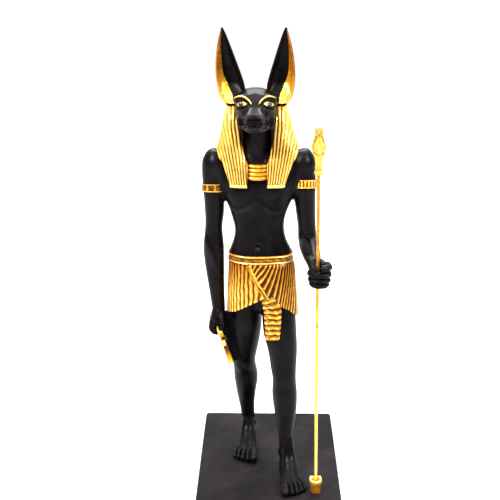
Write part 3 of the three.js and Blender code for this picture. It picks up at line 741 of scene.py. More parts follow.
@dataclass
class Flesh:
    """The black casting under the gold: trunk, neck, limbs, head, hands and feet, melted into one skin."""

    fine: float = 0.42
    coarse: float = 0.9
    faces: int = 96000
    trunk: Rows = field(default_factory=lambda: [
        (124, 2.2, 0, 20.5, 13.5, 16), (136, 1.8, 0, 20.4, 13.2, 15.5), (147, 1.3, 0, 19.8, 12.6, 12.5),
        (154, 0.8, 0, 17.1, 12.2, 10.2), (162, 0.5, 0, 15.6, 11.8, 9.4), (170, -0.1, 0, 16.8, 12, 10.6),
        (178, 0, 0, 19.4, 12.8, 12.4), (185, 0, 0, 22.6, 13.6, 13.4), (193, 0, 0, 26.2, 14, 13.8),
        (200, 0, 0, 29, 12.6, 12.2), (206, 0, 0, 29.6, 10.4, 10.4), (210, 0, 0, 27.6, 8.6, 8.8),
        (213, 0, 0, 22, 6.4, 6.8)])
    right_leg: Rows = field(default_factory=lambda: [
        (-8.4, 1, 128, 10, 11.2), (-8.7, 5.8, 100, 11.0, 10.8), (-9.0, 9, 85, 10.0, 10.2),
        (-9.9, 12, 70, 8.2, 9), (-9.3, 13.5, 62, 7.6, 8.6), (-8.4, 15.6, 53, 8.1, 9.2), (-8.4, 18, 41, 6.7, 8.4),
        (-7.8, 19.8, 29, 5.1, 6.2), (-6.9, 21.7, 17.7, 4.5, 5.2), (-6.9, 22.4, 8, 4, 5.4)])
    left_leg: Rows = field(default_factory=lambda: [
        (12.2, -1, 128, 10, 11.2), (13.6, -6.5, 99, 10.9, 11.6), (15.7, -9.2, 84, 9.6, 10.7),
        (16.5, -11.4, 71, 8.3, 9.2), (17.1, -12.8, 63, 7.6, 8.6), (17.3, -13.4, 54, 8.2, 9.2),
        (17.9, -15.2, 43, 7.3, 8.4), (18.1, -17.8, 31, 5.4, 6.2), (18.1, -19.6, 20, 4.3, 5.2),
        (18.3, -20.4, 8, 4, 5.4)])
    right_arm: Rows = field(default_factory=lambda: [
        (-25.6, 0, 212.8, 3.6, 4), (-26.2, 0, 209.8, 6.8, 7.2), (-27.2, 0, 203, 8.3, 8.8),
        (-28.2, 0, 193, 7.2, 8.2), (-28.1, 0.6, 182, 6.5, 7.2), (-28, 1.6, 172, 6.2, 6.6),
        (-28.6, 2.6, 162, 5.6, 6.1), (-28.8, 2.6, 149, 6.7, 6.8), (-28.2, 1.8, 136, 6.2, 6.2),
        (-27, 1, 120, 5, 5.4), (-25.9, 0.4, 107, 4.3, 5.2), (-26.2, 0, 98, 4.5, 6.2)])
    left_upper_arm: Rows = field(default_factory=lambda: [
        (25.6, 0, 212.8, 3.6, 4), (26.4, 0, 209.8, 6.8, 7.2), (27.2, 0, 203, 8, 8.8),
        (28.4, 0.2, 193, 7.3, 8.2), (28.9, 1, 182, 6.8, 7.4), (29.7, 2, 172, 6.2, 6.8), (30.6, 2.8, 162, 5.8, 6.5),
        (31, 2.9, 154, 5.9, 6.6), (31.2, 2.6, 148.2, 3.4, 3.8)])
    left_forearm: Rows = field(default_factory=lambda: [
        (31, 9, 153, 2.6, 2.8), (31.1, 5, 152.8, 5.4, 5.6), (31.3, 0, 152.2, 6, 6.4), (32.2, -6, 151.2, 6.2, 6.4),
        (33.2, -16, 149.4, 5.6, 5.8), (34, -26, 148, 4.6, 4.6), (34.5, -33, 147.2, 4.2, 5),
        (35.4, -38, 146.8, 4.4, 6.4)])
    neck: Rows = field(default_factory=lambda: [
        (203, 0, 0, 12, 10.5, 10.5), (209, 0, 0, 10, 9.6, 9.6), (216, 0, 0, 9.3, 9, 9), (232, 0, 0, 9.6, 9.6, 9.6)])

    def muscles(self) -> list[Thing]:
        """Models the lumps that show through the skin: breast, shoulders, knees, calves and ankles."""
        lumps = []
        for side in (-1, 1):
            lumps.append(Clay.lump((side * 9.8, -8.6, 188.5), (10.5, 5.2, 9.5), (0.06, 0, side * 0.14)))
            lumps.append(Clay.lump((side * 26.8, -0.4, 203.5), (8.6, 9, 9.6), (0, side * 0.2, 0)))
            lumps.append(Clay.lump((side * 10.5, 8.8, 195), (10, 4.4, 10), (-0.1, 0, 0)))
        lumps += [
            Clay.lump((-9.8, 6.4, 62.4), (4.4, 2.6, 5.4), (0.25, 0, 0)),
            Clay.lump((16.5, -18.2, 63.4), (4.4, 2.6, 5.4), (0.1, 0, 0)),
            Clay.lump((1.5, 1.0, 114), (7.0, 8.5, 10.0)),
            Clay.lump((-9, 21.5, 47), (6.6, 5, 10), (0.12, 0, 0)),
            Clay.lump((17.2, -9.2, 47.5), (6.6, 5, 10), (0.12, 0, 0)),
        ]
        for x, y in ((-6.9, 21.8), (18.2, -19.6)):
            lumps.append(Clay.lump((x - 4.0, y + 0.6, 14.2), (1.6, 2.4, 2.4)))
            lumps.append(Clay.lump((x + 4.0, y - 0.6, 15.2), (1.6, 2.4, 2.4)))
        return lumps

    def frame(self) -> Thing:
        """Models the trunk, neck and limbs as one melted skin."""
        parts = [
            Clay.loft("trunk", Clay.level_rings(Clay.through(self.trunk, 70), 72, 2.5)),
            Clay.loft("neck", leaned(Clay.level_rings(Clay.through(self.neck, 24), 48))),
            Clay.limb("right_leg", self.right_leg, 70), Clay.limb("left_leg", self.left_leg, 70),
            Clay.limb("right_arm", self.right_arm, 70), Clay.limb("left_upper_arm", self.left_upper_arm, 50),
            Clay.limb("left_forearm", self.left_forearm, 40), *self.muscles(),
        ]
        return Clay.remesh(Clay.join(parts), self.coarse, 14)

    def carve(self, skin: Chisel) -> None:
        """Models the navel, the breast, the ribs, the collar bones and the arms' and legs' muscle lines.

        Args:
            skin: The whole black skin.
        """
        # Besides the shape, pressed lines such as the navel and the creases under the breast are painted darker,
        # painted shade, and raised ones such as the band below the breast lighter, painted highlight.
        skin.stroke([(-0.3, -12.4, 158), (-0.1, -12.2, 166), (0, -13, 176)], 1.6, -0.22, 0.0)
        skin.stroke([(-0.6, -12.4, 153.4)], 1.0, -1.5, -0.4)
        skin.stroke([(-1.2, -12.8, 151.7), (-0.6, -12.8, 151.4), (0.1, -12.8, 151.7)], 0.8, 0.45, 0.35)
        skin.stroke([(-2.6, -12.4, 155.4), (-0.6, -12.6, 156.4), (1.4, -12.4, 155.4)], 0.9, 0.25, 0.05)
        skin.stroke([(-0.6, -14.2, 184), (-0.4, -14.4, 196)], 1.8, -0.5, -0.05)
        left = [(-18.2, -6.5, 181.5), (-17.4, -7.5, 179), (-14.1, -10, 177.8), (-9.2, -12.1, 179.2), (-4.7, -13.2, 182.3),
                (-2.7, -13.7, 186.2)]
        right = [(0.9, -13.5, 185), (4.1, -13, 180.6), (7.8, -12.2, 177.8), (13.5, -10, 176.6), (16, -8.9, 178.4),
                 (17.6, -7.6, 181.5)]
        for arc in (left, right):
            skin.stroke([(x, y, z + 0.4) for x, y, z in arc], 1.2, -0.3, -0.06)
            skin.stroke([(x, y - 0.3, z - 2.2) for x, y, z in arc[1:-1]], 1.5, 0.35, 0.14)
        for side in (-1, 1):
            skin.stroke([(side * 2.4, -12.3, 172.5), (side * 6.5, -11.5, 168), (side * 9.6, -10.4, 162),
                         (side * 11, -9.6, 156)], 1.8, -0.22, -0.02)
            skin.stroke([(side * 5, -9.6, 206.4), (side * 14, -9.2, 208.8), (side * 22, -5.6, 211)], 1.3, 0.45, 0.1)
            skin.stroke([(side * 20.4, -7.4, 208.6), (side * 21.6, -9.6, 202), (side * 20.8, -10.2, 195),
                         (side * 20.2, -8.6, 188)], 1.6, -0.6, -0.1)
            skin.stroke([(0, 13.4, 150), (0, 11.4, 166), (0, 13.6, 184), (0, 13.6, 196)], 1.7, -0.3, 0.0)
            skin.stroke([(side * 11, 12.8, 190), (side * 15, 13.2, 198), (side * 12, 12, 205)], 1.6, -0.4, 0.0)
        skin.stroke([(-32.4, -1.5, 158), (-30.4, -3.6, 153), (-27.6, -4.8, 147), (-26.6, -4.6, 141)], 1.1, -0.35)
        skin.stroke([(-33.4, -2, 152), (-31.4, -4.2, 146), (-29.8, -4.4, 139)], 1.6, 0.35)
        skin.stroke([(27.2, -4.2, 158.4), (31, -5.4, 158.6), (35, -3.6, 158.2)], 0.9, -0.6)
        skin.stroke([(28.4, -4.6, 160.4), (31.6, -5.2, 160.8)], 1.0, 0.35)
        for x, y, z in ((-9.8, 3.6, 62.4), (16.6, -21.6, 63.4)):
            skin.stroke([(x - 3.2, y + 0.8, z - 4.6), (x, y, z - 5.6), (x + 3.2, y + 0.8, z - 4.6)], 1.6, -0.12)
            skin.stroke([(x - 3.4, y + 0.8, z + 4.6), (x, y - 0.2, z + 6.0), (x + 3.4, y + 0.8, z + 4.6)], 1.8, -0.1)
            skin.stroke([(x - 0.6, y + 4, z - 12), (x, y + 7, z - 26)], 1.2, 0.25)

    def solid(self, extras: list[Thing]) -> Thing:
        """Melts the body and the finer parts together.

        Args:
            extras: The head, hands and feet.

        Returns:
            The whole black skin.
        """
        return Clay.remesh(Clay.join([self.frame(), *extras]), self.fine, 2)


@dataclass
class Foot:
    """A bare foot, from the heel forward, with its toes."""

    name: str
    heel: tuple[float, float]
    turn: float
    big_toe_side: int
    sole: Rows = field(default_factory=lambda: [
        (0, 3, 6), (3, 5, 11), (10, 5.5, 15), (17, 5.8, 13.5), (24, 6.8, 9.6), (31, 7.7, 6.2), (35, 7.6, 4.2)])
    toes: Rows = field(default_factory=lambda: [
        (-5.7, 42, 2.5, 2.5), (-1.8, 41.2, 1.75, 2.05), (1.5, 40.1, 1.65, 1.95), (4.6, 38.5, 1.55, 1.85),
        (7.3, 36.2, 1.45, 1.7)])
    rounding: float = 0.9

    def solid(self) -> Thing:
        """Models the foot."""
        rows = Clay.through(self.sole, 40)
        turn = np.linspace(0, 2 * np.pi, 40, endpoint=False)
        rise = np.sin(turn)
        x = rows[:, 1, None] * np.cos(turn)
        z = self.rounding + rise * np.where(rise > 0, rows[:, 2, None] - self.rounding, self.rounding + 0.4)
        y = -rows[:, 0, None] + 0 * x
        parts = [Clay.loft(self.name, np.stack([x, y, z], axis=2))]
        parts.append(Clay.limb("instep", [(0, -7.4, 30, 2.4, 2.8), (0, -8.6, 24, 3.7, 4.5), (0, -10.6, 18, 4.4, 5.2),
                                          (0, -14, 12.5, 4.8, 4.6), (0, -19.5, 8.4, 5.2, 3.6), (0, -25, 5.4, 5.2, 2.4)], 30, 28))
        parts = [Clay.remesh(Clay.join(parts), 0.6, 14)]
        for across, tip, half, high in self.toes:
            at = -self.big_toe_side * across
            parts.append(Clay.limb("toe", [
                (at * 0.86, 12 - tip, high + 1.9, half * 0.9, high), (at * 0.95, 6.4 - tip, high + 1.1, half * 0.92, high),
                (at, 3.2 - tip, high + 0.1, half * 1.02, high * 1.0), (at, 1.2 - tip, high - 0.15, half * 0.9, high * 0.92),
                (at, 0.1 - tip, high - 0.3, half * 0.4, high * 0.45)], 18, 20))
        foot = Clay.join(parts)
        foot.data.transform(self.place())
        return foot

    def place(self) -> Matrix:
        """Where the foot stands."""
        return Matrix.Translation((*self.heel, 0)) @ Matrix.Rotation(self.turn, 4, "Z")

    def carve(self, skin: Chisel) -> None:
        """Parts the toes, and models their nails and the tendons.

        Args:
            skin: The whole black skin.
        """
        def put(path: Rows) -> Rows:
            """A path drawn along the foot, where it stands."""
            return [tuple(self.place() @ Vector((-self.big_toe_side * x, y, z))) for x, y, z in path]

        # Besides the shape, the gaps between the toes and the creases above them are painted darker, painted shade, and
        # the toes' tops and tendons lighter, painted highlight.
        for (x, tip, r, high), (x2, tip2, r2, high2) in zip(self.toes[:-1], self.toes[1:]):
            between, end = (x + r + x2 - r2) / 2, max(tip, tip2)
            gap = [(between * 0.93, 8.6 - end, high2 + 2.6), (between, 5.2 - end, high2 + 1.5),
                   (between, 2.4 - end, high2 + 0.6), (between, 0.4 - end, high2 - 0.6)]
            skin.stroke(put(gap), 0.6, -1.15, -0.45)
        for x, tip, r, high in self.toes:
            nail = [(x - r * 0.45, 2.3 - tip, 2 * high - 0.1), (x + r * 0.45, 2.3 - tip, 2 * high - 0.1)]
            skin.stroke(put(nail), 0.55, -0.2, 0.1)
            skin.stroke(put([(x * 0.92, 6.2 - tip, 2 * high + 0.4)]), 1.2, 0.35, 0.15)
            skin.stroke(put([(x * 0.96, 8.2 - tip, high + 3), (x * 1.02, 8.4 - tip, high + 2.6)]), 0.7, -0.3, -0.15)
            skin.stroke(put([(x * 0.75, 14 - tip, high + 4.4), (x * 0.35, 22 - tip, high + 8.4)]), 0.9, 0.2, 0.05)


@dataclass
class HangingFist:
    """The right fist: its fingers lie side by side along Y and curl round a bar that runs that way."""

    middle: Row = (-27.2, -0.4, 94.5)
    finger: float = 1.9
    pitch: float = 3.5

    def solid(self) -> Thing:
        """Models the fist."""
        x, y, z = self.middle
        parts = [
            Clay.limb("palm", [
                (x + 1.2, y + 0.6, z + 14, 3.6, 4.6), (x + 0.6, y, z + 10, 3.9, 5.8), (x + 0.2, y, z + 7, 3.9, 6.8),
                (x + 0.5, y + 0.2, z + 5, 3.2, 6.6), (x + 0.8, y + 0.2, z + 4.2, 2.2, 6)], 24, 30),
            Clay.lump((x + 4.0, y + 0.8, z + 5), (2.1, 6.4, 5)),
        ]
        for i in range(4):
            at, r = y - 5.3 + self.pitch * i, self.finger - 0.08 * i
            drop = 0.25 * i
            path = ((-2.0, 6.6), (-3.1, 3.6), (-3.0, 0.9), (-1.1, -1.1), (1.7, -1.0), (3.0, 1.2), (2.7, 3.2))
            parts.append(Clay.limb("finger", [(x + px, at, z + pz + drop, r, r) for px, pz in path], 30, 20, across=(0, 1, 0)))
        parts.append(Clay.limb("thumb", [
            (x + 2.6, y - 1.2, z + 12, 1.8, 2.2), (x + 3.6, y - 4.6, z + 8.6, 2.1, 2.4), (x + 3.6, y - 6.4, z + 5.4, 2.0, 2.1),
            (x + 2.8, y - 7.3, z + 2.6, 1.8, 1.8), (x + 1.9, y - 7.3, z + 1.0, 1.1, 1.1)], 26, 20))
        return Clay.join(parts)

    def carve(self, skin: Chisel) -> None:
        """Parts the fingers and marks the tendons on the back of the hand.

        Args:
            skin: The whole black skin.
        """
        x, y, z = self.middle
        # The partings between the fingers are painted darker, painted shade, and the raised lines lighter, painted
        # highlight, as the lift asks.
        for i in range(3):
            at = y - 5.3 + self.pitch * (i + 0.5)
            skin.stroke([(x - 4.2, at, z + 6), (x - 5, at, z + 2.6), (x - 4.6, at, z - 0.6), (x - 2, at, z - 2.8),
                               (x + 1.4, at, z - 2.8)], 0.55, -0.8)
        for i in range(4):
            at = y - 5.3 + self.pitch * i
            skin.stroke([(x - 4.2, at, z + 5.6), (x - 3.4, at * 0.7, z + 11)], 0.9, 0.35)
        skin.stroke([(x + 1.6, y - 5.4, z + 13.6), (x + 3.0, y - 7.2, z + 9.6), (x + 4.4, y - 7.6, z + 5.6)], 1.0, 0.45)
        skin.stroke([(x + 0.9, y - 6.4, z + 9), (x + 1.5, y - 7.6, z + 5)], 0.8, -0.6)


@dataclass
class GrippingFist:
    """The left fist, upright round the staff: its fingers lie one above another."""

    middle: Row = (36.2, -45.0, 146.6)
    fingers: Rows = field(default_factory=lambda: [
        (5.5, 2.35, 1.0), (1.2, 2.2, 1.0), (-2.6, 2.0, 0.95), (-5.2, 1.75, 0.86)])

    def paths(self) -> list[Rows]:
        """The middle line of each finger, from the palm's outside over the front to its tip."""
        x, y, z = self.middle
        made = []
        for i, (up, _, wide) in enumerate(self.fingers):
            path = [(4.9, 1.8), (5.3, -2.0), (3.4, -5.4), (-0.8, -6.5), (-4.0, -4.9), (-5.0, -1.6), (-3.6, 0.8)]
            if i == 0:
                path = [(4.9, 1.8), (5.5, -1.8), (4.2, -5.0), (1.9, -6.5), (0.9, -6.7)]
            made.append([(x + px * wide, y + py, z + up - 0.05 * px) for px, py in path])
        return made

    def solid(self) -> Thing:
        """Models the fist."""
        x, y, z = self.middle
        parts = [
            Clay.limb("palm", [(x - 1.2, y + 9.5, z + 0.6, 4.6, 6.8), (x + 0.4, y + 6.4, z + 0.4, 5.0, 7.6),
                               (x + 2.0, y + 3.2, z + 0.3, 4.5, 7.4), (x + 2.9, y + 0.4, z + 0.3, 3.4, 6.6)], 22, 30),
        ]
        for path, (_, r, _) in zip(self.paths(), self.fingers):
            parts.append(Clay.limb("finger", [(*spot, r, r) for spot in path], 34, 20, across=(0, 0, 1)))
        parts.append(Clay.limb("thumb", [
            (x - 2.6, y + 9.5, z + 4.6, 2.4, 2.8), (x - 5.0, y + 4.6, z + 7.6, 2.4, 2.7), (x - 5.4, y - 0.4, z + 8.4, 2.2, 2.3),
            (x - 4.0, y - 4.6, z + 6.6, 2.0, 2.0), (x - 2.6, y - 6.8, z + 4.6, 1.7, 1.7), (x - 2.1, y - 7.5, z + 3.8, 1, 1)],
            30, 20))
        return Clay.join(parts)

    def carve(self, skin: Chisel) -> None:
        """Parts the fingers and marks their joints.

        Args:
            skin: The whole black skin.
        """
        paths = self.paths()
        # The grooves between the fingers are painted darker, painted shade, and the knuckles lighter, painted
        # highlight, as the lift asks.
        for upper, lower, (_, r, _), (_, r2, _) in zip(paths, paths[1:], self.fingers, self.fingers[1:]):
            groove = [tuple((a + b) / 2 for a, b in zip(p, q)) for p, q in zip(upper, lower)]
            middle = Vector(self.middle)
            out = [tuple(Vector(p) + (Vector(p) - Vector((middle.x, middle.y, p[2]))).normalized() * (r + r2) * 0.36)
                   for p in groove]
            skin.stroke(out[: 4 if upper is paths[0] else 6], 0.55, -0.9)
        for path, (_, r, _) in zip(paths, self.fingers):
            for x, y, z in (path[1], path[2]):
                skin.stroke([(x + r * 0.6, y - r * 0.8, z)], 1.2, 0.3)


@dataclass
class Head:
    """The jackal's head: a round skull that runs into a long narrow muzzle."""

    eye: Row = (8.15, -16.0, 243.35)
    half_eye: tuple[float, float] = (3.2, 1.75)
    gaze: float = 0.45
    skull: Rows = field(default_factory=lambda: [
        (12, 238, 8, 9, 10), (6, 238, 12, 12.2, 13), (-2, 238.5, 13.2, 12.4, 13.5), (-8, 238.3, 12.6, 11.6, 12),
        (-12.5, 238, 11.4, 10.6, 9.5), (-16.5, 237.6, 9.4, 8.2, 6.8), (-20, 237.2, 7.4, 6.0, 5.4),
        (-25, 236.8, 5.9, 4.7, 4.6), (-30, 236.4, 5.9, 4.1, 4.4), (-33.5, 236.3, 5.7, 3.8, 4.0),
        (-35.4, 236.7, 4.2, 3.1, 3.1), (-36.2, 237, 2.2, 1.8, 1.8)])
    jaw: Rows = field(default_factory=lambda: [
        (0, -2, 229.6, 10.8, 5.2), (0, -8, 229.6, 10.4, 4.6), (0, -14, 229.7, 9.5, 3.8), (0, -20, 230.2, 8.0, 3.3),
        (0, -26, 230.2, 6.5, 2.9), (0, -30.6, 230.7, 5.0, 2.3), (0, -32.4, 231.1, 3.4, 1.5)])

    @property
    def eyes(self) -> tuple[Row, Row]:
        """Where the eyes' middles are, on the figure."""
        x, y, z = self.eye
        return tuple(tuple(leaned(np.array((side * (x + self.gaze), y, z), float))) for side in (-1, 1))

    def solid(self) -> Thing:
        """Models the head without its eyes."""
        rows = Clay.through(self.skull, 60)
        turn = np.linspace(0, 2 * np.pi, 64, endpoint=False)
        across, rise = (np.sign(v) * np.abs(v) ** (2 / 2.4) for v in (np.cos(turn), np.sin(turn)))
        x = rows[:, 2, None] * across
        z = rows[:, 1, None] + rise * np.where(rise > 0, rows[:, 3, None], rows[:, 4, None])
        y = rows[:, 0, None] + 0 * x
        parts = [Clay.loft("skull", np.stack([x, y, z], axis=2)), Clay.limb("jaw", self.jaw, 30, 36)]
        parts.append(Clay.lump((0, -34.9, 238.0), (3.9, 1.9, 2.5)))
        for side in (-1, 1):
            parts.append(Clay.lump((side * 8.4, -9.6, 245.2), (4.6, 5.2, 3.3), (0, 0, side * 0.35)))
            parts.append(Clay.lump((side * 8.2, -12.8, 242.2), (3.4, 3.2, 2.6), (0, 0, side * 0.5)))
            parts.append(Clay.lump((side * 3.5, -31.9, 235.0), (3.0, 2.7, 2.3), (0, 0, side * 0.3)))
            parts.append(Clay.lump((side * 9.0, -9.5, 232.0), (2.5, 6.6, 5.6), (0, 0, side * 0.1)))
        head = Clay.remesh(Clay.join(parts), 0.45, 6)
        Clay.reshape(head, leaned(Clay.points(head)))
        return head

    def carve(self, head: Chisel) -> None:
        """Models the eye sockets, nostrils, mouth and brows.

        Args:
            head: The skin, with the head leaning.
        """
        def sided(path: Rows, side: int) -> Rows:
            """A path on one side of the upright head, where the leaning head has it."""
            return leaned(np.array([(side * x, y, z) for x, y, z in path], float)).tolist()

        # Besides the shape, the tones paint shade into the eye sockets, nose pad, nostrils and mouth and over the
        # muzzle's top, and highlights on the muzzle's ridges, under the eyes and on the lower lip.
        strokes = (
            ([(1.2, -20, 242.4), (1.2, -26, 241.2), (1.4, -31, 240.4)], 1.9, -0.2, -0.3),
            ([(0, -36.9, 237.6), (0, -35.6, 234.2)], 0.45, -0.55, -0.3),
            ([(2.6, -22, 241.6), (3.2, -26, 240.7), (4.3, -30, 239.6), (5.1, -33, 238.0), (5.6, -33.4, 235.6)], 0.7, 0.5, 0.4),
            ([(6.4, -21, 239.2), (7.0, -25, 236.8), (7.2, -28.5, 235.4)], 1.9, -0.9, -0.05),
            ([(5.6, -19.5, 240.2), (8.3, -17.0, 239.3), (11.0, -13.6, 239.9)], 1.0, 0.6, 0.2),
            ([(4.6, -19.0, 241.4), (6.2, -18.0, 240.9), (9.2, -16.0, 240.7), (11.8, -13.0, 241.8)], 0.6, -0.4, -0.3),
            ([(3.9, -18.6, 244.0), (5.6, -16.6, 245.8), (8.4, -14.2, 246.6), (11.4, -11.6, 245.8), (12.6, -9.8, 244.6)], 0.9, -0.8, -0.42),
            ([(1.9, -20.6, 242.4), (4.2, -21.4, 241.4)], 1.2, -0.35, -0.1),
            ([(1.2, -36.9, 236.9), (2.1, -36.6, 236.4), (2.9, -35.9, 236.5), (3.3, -35.4, 237.2)], 0.6, -1.3, -0.6),
            ([(0, -35.2, 240.6), (0, -36.8, 238.4), (0, -36.9, 236.4)], 1.7, -0.12, -0.8),
            ([(0, -36.6, 238.4), (1.6, -36.4, 238.2)], 0.9, 0.25, -0.1),
            ([(4.0, -34.8, 238.4), (4.7, -34.0, 235.6)], 0.8, 0.35, 0.5),
            ([(3.0, -35.4, 234.9), (4.0, -34.6, 235.0)], 0.6, -0.6, -0.45),
            ([(0, -36.0, 235.2), (2.6, -35.6, 235.0)], 0.45, -0.4, -0.3),
            ([(0, -34.4, 233.6), (2.7, -34.2, 233.3), (5.5, -33.0, 232.9), (7.2, -29.4, 232.5), (8.3, -25.0, 232.2)], 0.65, -1.25, -0.6),
            ([(4.7, -33.7, 233.1), (6.4, -31.8, 232.8)], 1.35, -0.7, -0.9),
            ([(0, -33.4, 231.3), (3, -32.8, 231.2), (5.6, -30.4, 230.7), (7.4, -26.6, 230.2)], 0.8, 0.4, 0.4),
            ([(8.9, -18, 236.6), (9.6, -15.5, 233.4), (9.4, -17, 230.4)], 1.3, -0.35, -0.05),
            ([(0, -12, 250.2), (4.5, -13, 249.4), (9, -12, 248.6)], 1.3, 0.25, 0.08),
        )
        for path, reach, lift, tone in strokes:
            for side in (-1, 1):
                share = 0.5 if abs(path[0][0]) < 1e-6 and all(abs(spot[0]) < 1e-6 for spot in path) else 1.0
                head.stroke(sided(path, side), reach, lift * share, tone * share)

    def almond(self, side: int) -> np.ndarray:
        """The outline of an eye as seen from the front, before the head leans: x and z, closed.

        Args:
            side: -1 for the figure's right eye and 1 for its left.

        Returns:
            The points, from the inner corner over the top.
        """
        x, _, z = self.eye
        wide, high = self.half_eye
        t = np.linspace(0, 2 * np.pi, 40, endpoint=False)
        u = -np.cos(t) * wide
        v = np.sin(t) * high * (1 - 0.25 * np.abs(np.cos(t)) ** 2)
        tilt = 0.04
        return np.stack([side * (x + u * math.cos(tilt) - v * math.sin(tilt)), z + u * math.sin(tilt) + v * math.cos(tilt)],
                        axis=1)

    def eyeball(self, side: int, skin: BVHTree) -> Thing:
        """Models a painted eye that stands a little out of its socket.

        Args:
            side: -1 for the figure's right eye and 1 for its left.
            skin: The finished head's skin, to set it on.

        Returns:
            The eye, as a thin lens.
        """
        outline = self.almond(side)
        centre = outline.mean(0)
        rings = []
        for share, out in ((1.0, -2.0), (1.0, 0.1), (0.9, 0.4), (0.7, 0.62), (0.45, 0.74), (0.15, 0.8)):
            flat = centre + (outline - centre) * share
            spots = leaned(np.stack([flat[:, 0], np.full(len(flat), self.eye[1]), flat[:, 1]], axis=1))
            rings.append(Skin.laid(spots, skin, out))
        paints = np.full((len(rings) - 1, len(outline)), Paint.EYE.value)
        return Clay.loft("eye", np.array(rings), paints, cap_paint=Paint.EYE)

    def lids(self, side: int, skin: BVHTree) -> list[Thing]:
        """Models the black rim round an eye and the gold line over it.

        Args:
            side: -1 for the figure's right eye and 1 for its left.
            skin: The finished head's skin, to set them on.

        Returns:
            The rim and the brow line.
        """
        outline = self.almond(side)
        centre = outline.mean(0)
        ring = np.concatenate([outline, outline[:2]])
        ring = centre + (ring - centre) * 1.07
        rim = leaned(np.stack([ring[:, 0], np.full(len(ring), self.eye[1]), ring[:, 1]], axis=1))
        brow = Clay.through([(side * 2.3, 0, 242.9), (side * 2.9, 0, 244.2), (side * 4.1, 0, 245.9), (side * 6.2, 0, 247.8),
                             (side * 8.7, 0, 248.5), (side * 11.0, 0, 248.3), (side * 12.3, 0, 247.9)], 44)
        line = leaned(np.stack([brow[:, 0], brow[:, 1] + self.eye[1], brow[:, 2]], axis=1))
        return [
            Clay.sweep("lid", Skin.laid(rim, skin, 0.12), 0.42, 0.4, 8, Paint.RESIN, taper=False),
            Clay.sweep("brow_line", Skin.laid(line, skin, 0.15), 0.5, 0.52, 10, Paint.GOLD),
        ]


class Skin:
    """A finished surface that ornaments are laid on."""

    SIGHT = Vector((0, math.cos(math.radians(17.5)), -math.sin(math.radians(17.5))))

    @staticmethod
    def tree(thing: Thing) -> BVHTree:
        """A surface that can be asked where a line meets it."""
        return BVHTree.FromObject(thing, bpy.context.evaluated_depsgraph_get())

    @staticmethod
    def laid(spots: np.ndarray, tree: BVHTree, out: float) -> np.ndarray:
        """Lays points on a surface as seen from the front and a little above.

        Args:
            spots: The points; where the surface is missed, they stay.
            tree: The surface.
            out: How far in front of the surface they end up.

        Returns:
            The points on the surface.
        """
        made = []
        for spot in spots:
            start = Vector(spot) - Skin.SIGHT * 60
            hit = tree.ray_cast(start, Skin.SIGHT)[0]
            made.append((hit if hit else Vector(spot)) - Skin.SIGHT * out)
        return np.array(made)


# The gold that is modelled on the figure


def ridge(position: np.ndarray, keen: float = 0.6) -> np.ndarray:
    """The height of rounded ridges with narrow grooves between them, one ridge to each whole number."""
    return np.abs(np.sin(np.pi * position)) ** keen


@dataclass
class Ear:
    """A tall pointed ear: a cup that opens forwards, gilt along its outer wall."""

    side: int
    outline: Rows = field(default_factory=lambda: [
        (239.5, 12, 17.5), (242.5, 8.5, 20.5), (247, 6.6, 22.4), (252.5, 6.8, 23.6), (259, 8.6, 24.1),
        (267, 11.3, 23.8), (276, 14.4, 22.5), (283, 17, 20.8), (286.6, 18.7, 19.7)])
    gilt: Rows = field(default_factory=lambda: [
        (240, 6.0), (244, 8.0), (247, 8.2), (251, 7.0), (258.7, 4.7), (270, 3.1), (280, 1.5), (287, 0.3)])
    wall: float = 1.6
    middle_y: float = 1.0
    front: float = 2.0
    back: float = 6.0
    rings: int = 64

    def solid(self) -> Thing:
        """Models the ear."""
        gilt = np.array(self.gilt)
        made, paints, relief = [], [], []
        for z, inner, outer in Clay.through(self.outline, self.rings):
            half, x = (outer - inner) / 2, (inner + outer) / 2
            depth = min(max((outer - inner) / 14, 0.1), 1)
            wall = min(self.wall, half * 0.42)
            bottom = np.clip((z - 241.5) / 13, 0, 1)
            bottom = bottom ** 2 * (3 - 2 * bottom)
            scoop = (self.back * depth - wall * 0.9) * bottom * min(1, (287 - z) / 6) - self.front * depth * (1 - bottom)
            turn = np.linspace(0, np.pi, 27)
            ring = [(x + half * math.cos(a), self.middle_y + self.back * depth * math.sin(a)) for a in turn]
            bend = np.linspace(np.pi, 2 * np.pi, 8)[1:]
            lip = half - wall / 2
            ring += [(x - lip + wall / 2 * math.cos(a), self.middle_y + self.front * depth * math.sin(a)) for a in bend]
            cup = half - wall
            edge = x + half - min(np.interp(z, gilt[:, 0], gilt[:, 1]), 2 * cup)
            across = np.concatenate([np.linspace(x - cup, edge, 14)[1:], np.linspace(edge, x + cup, 12)[1:]])
            for at in across:
                arch = math.sqrt(max(1 - ((at - x) / cup) ** 2, 0))
                step = 0.35 * depth * bottom if at > edge + 0.05 else 0.0
                ring.append((at, self.middle_y + scoop * arch ** 0.8 - step))
            ring += [(x + lip + wall / 2 * math.cos(a), self.middle_y + self.front * depth * math.sin(a))
                     for a in np.linspace(np.pi, 2 * np.pi, 8)[1:-1]]
            count = len(ring)
            made.append([(self.side * px, py, z) for px, py in ring])
            start = 27 + 7 + 13
            gold = (np.arange(count) >= start) & (np.arange(count) < count - 2) & (z > 241) & (z < 285.6)
            paints.append(np.where(gold, Paint.GOLD.value, Paint.RESIN.value))
            # The gilt is painted lighter at the bottom of the cup and darker towards the tip, painted light where the
            # cup's floor catches it from above; the black inside of the cup is a little darker, painted shade.
            lit_tone = np.interp(z, [242, 250, 262, 286], [0.85, 0.62, 0.42, 0.36])
            relief.append(np.where(gold, lit_tone, 0.45))
        return Clay.loft("ear", leaned(np.array(made)), np.array(paints)[:-1], np.array(relief))


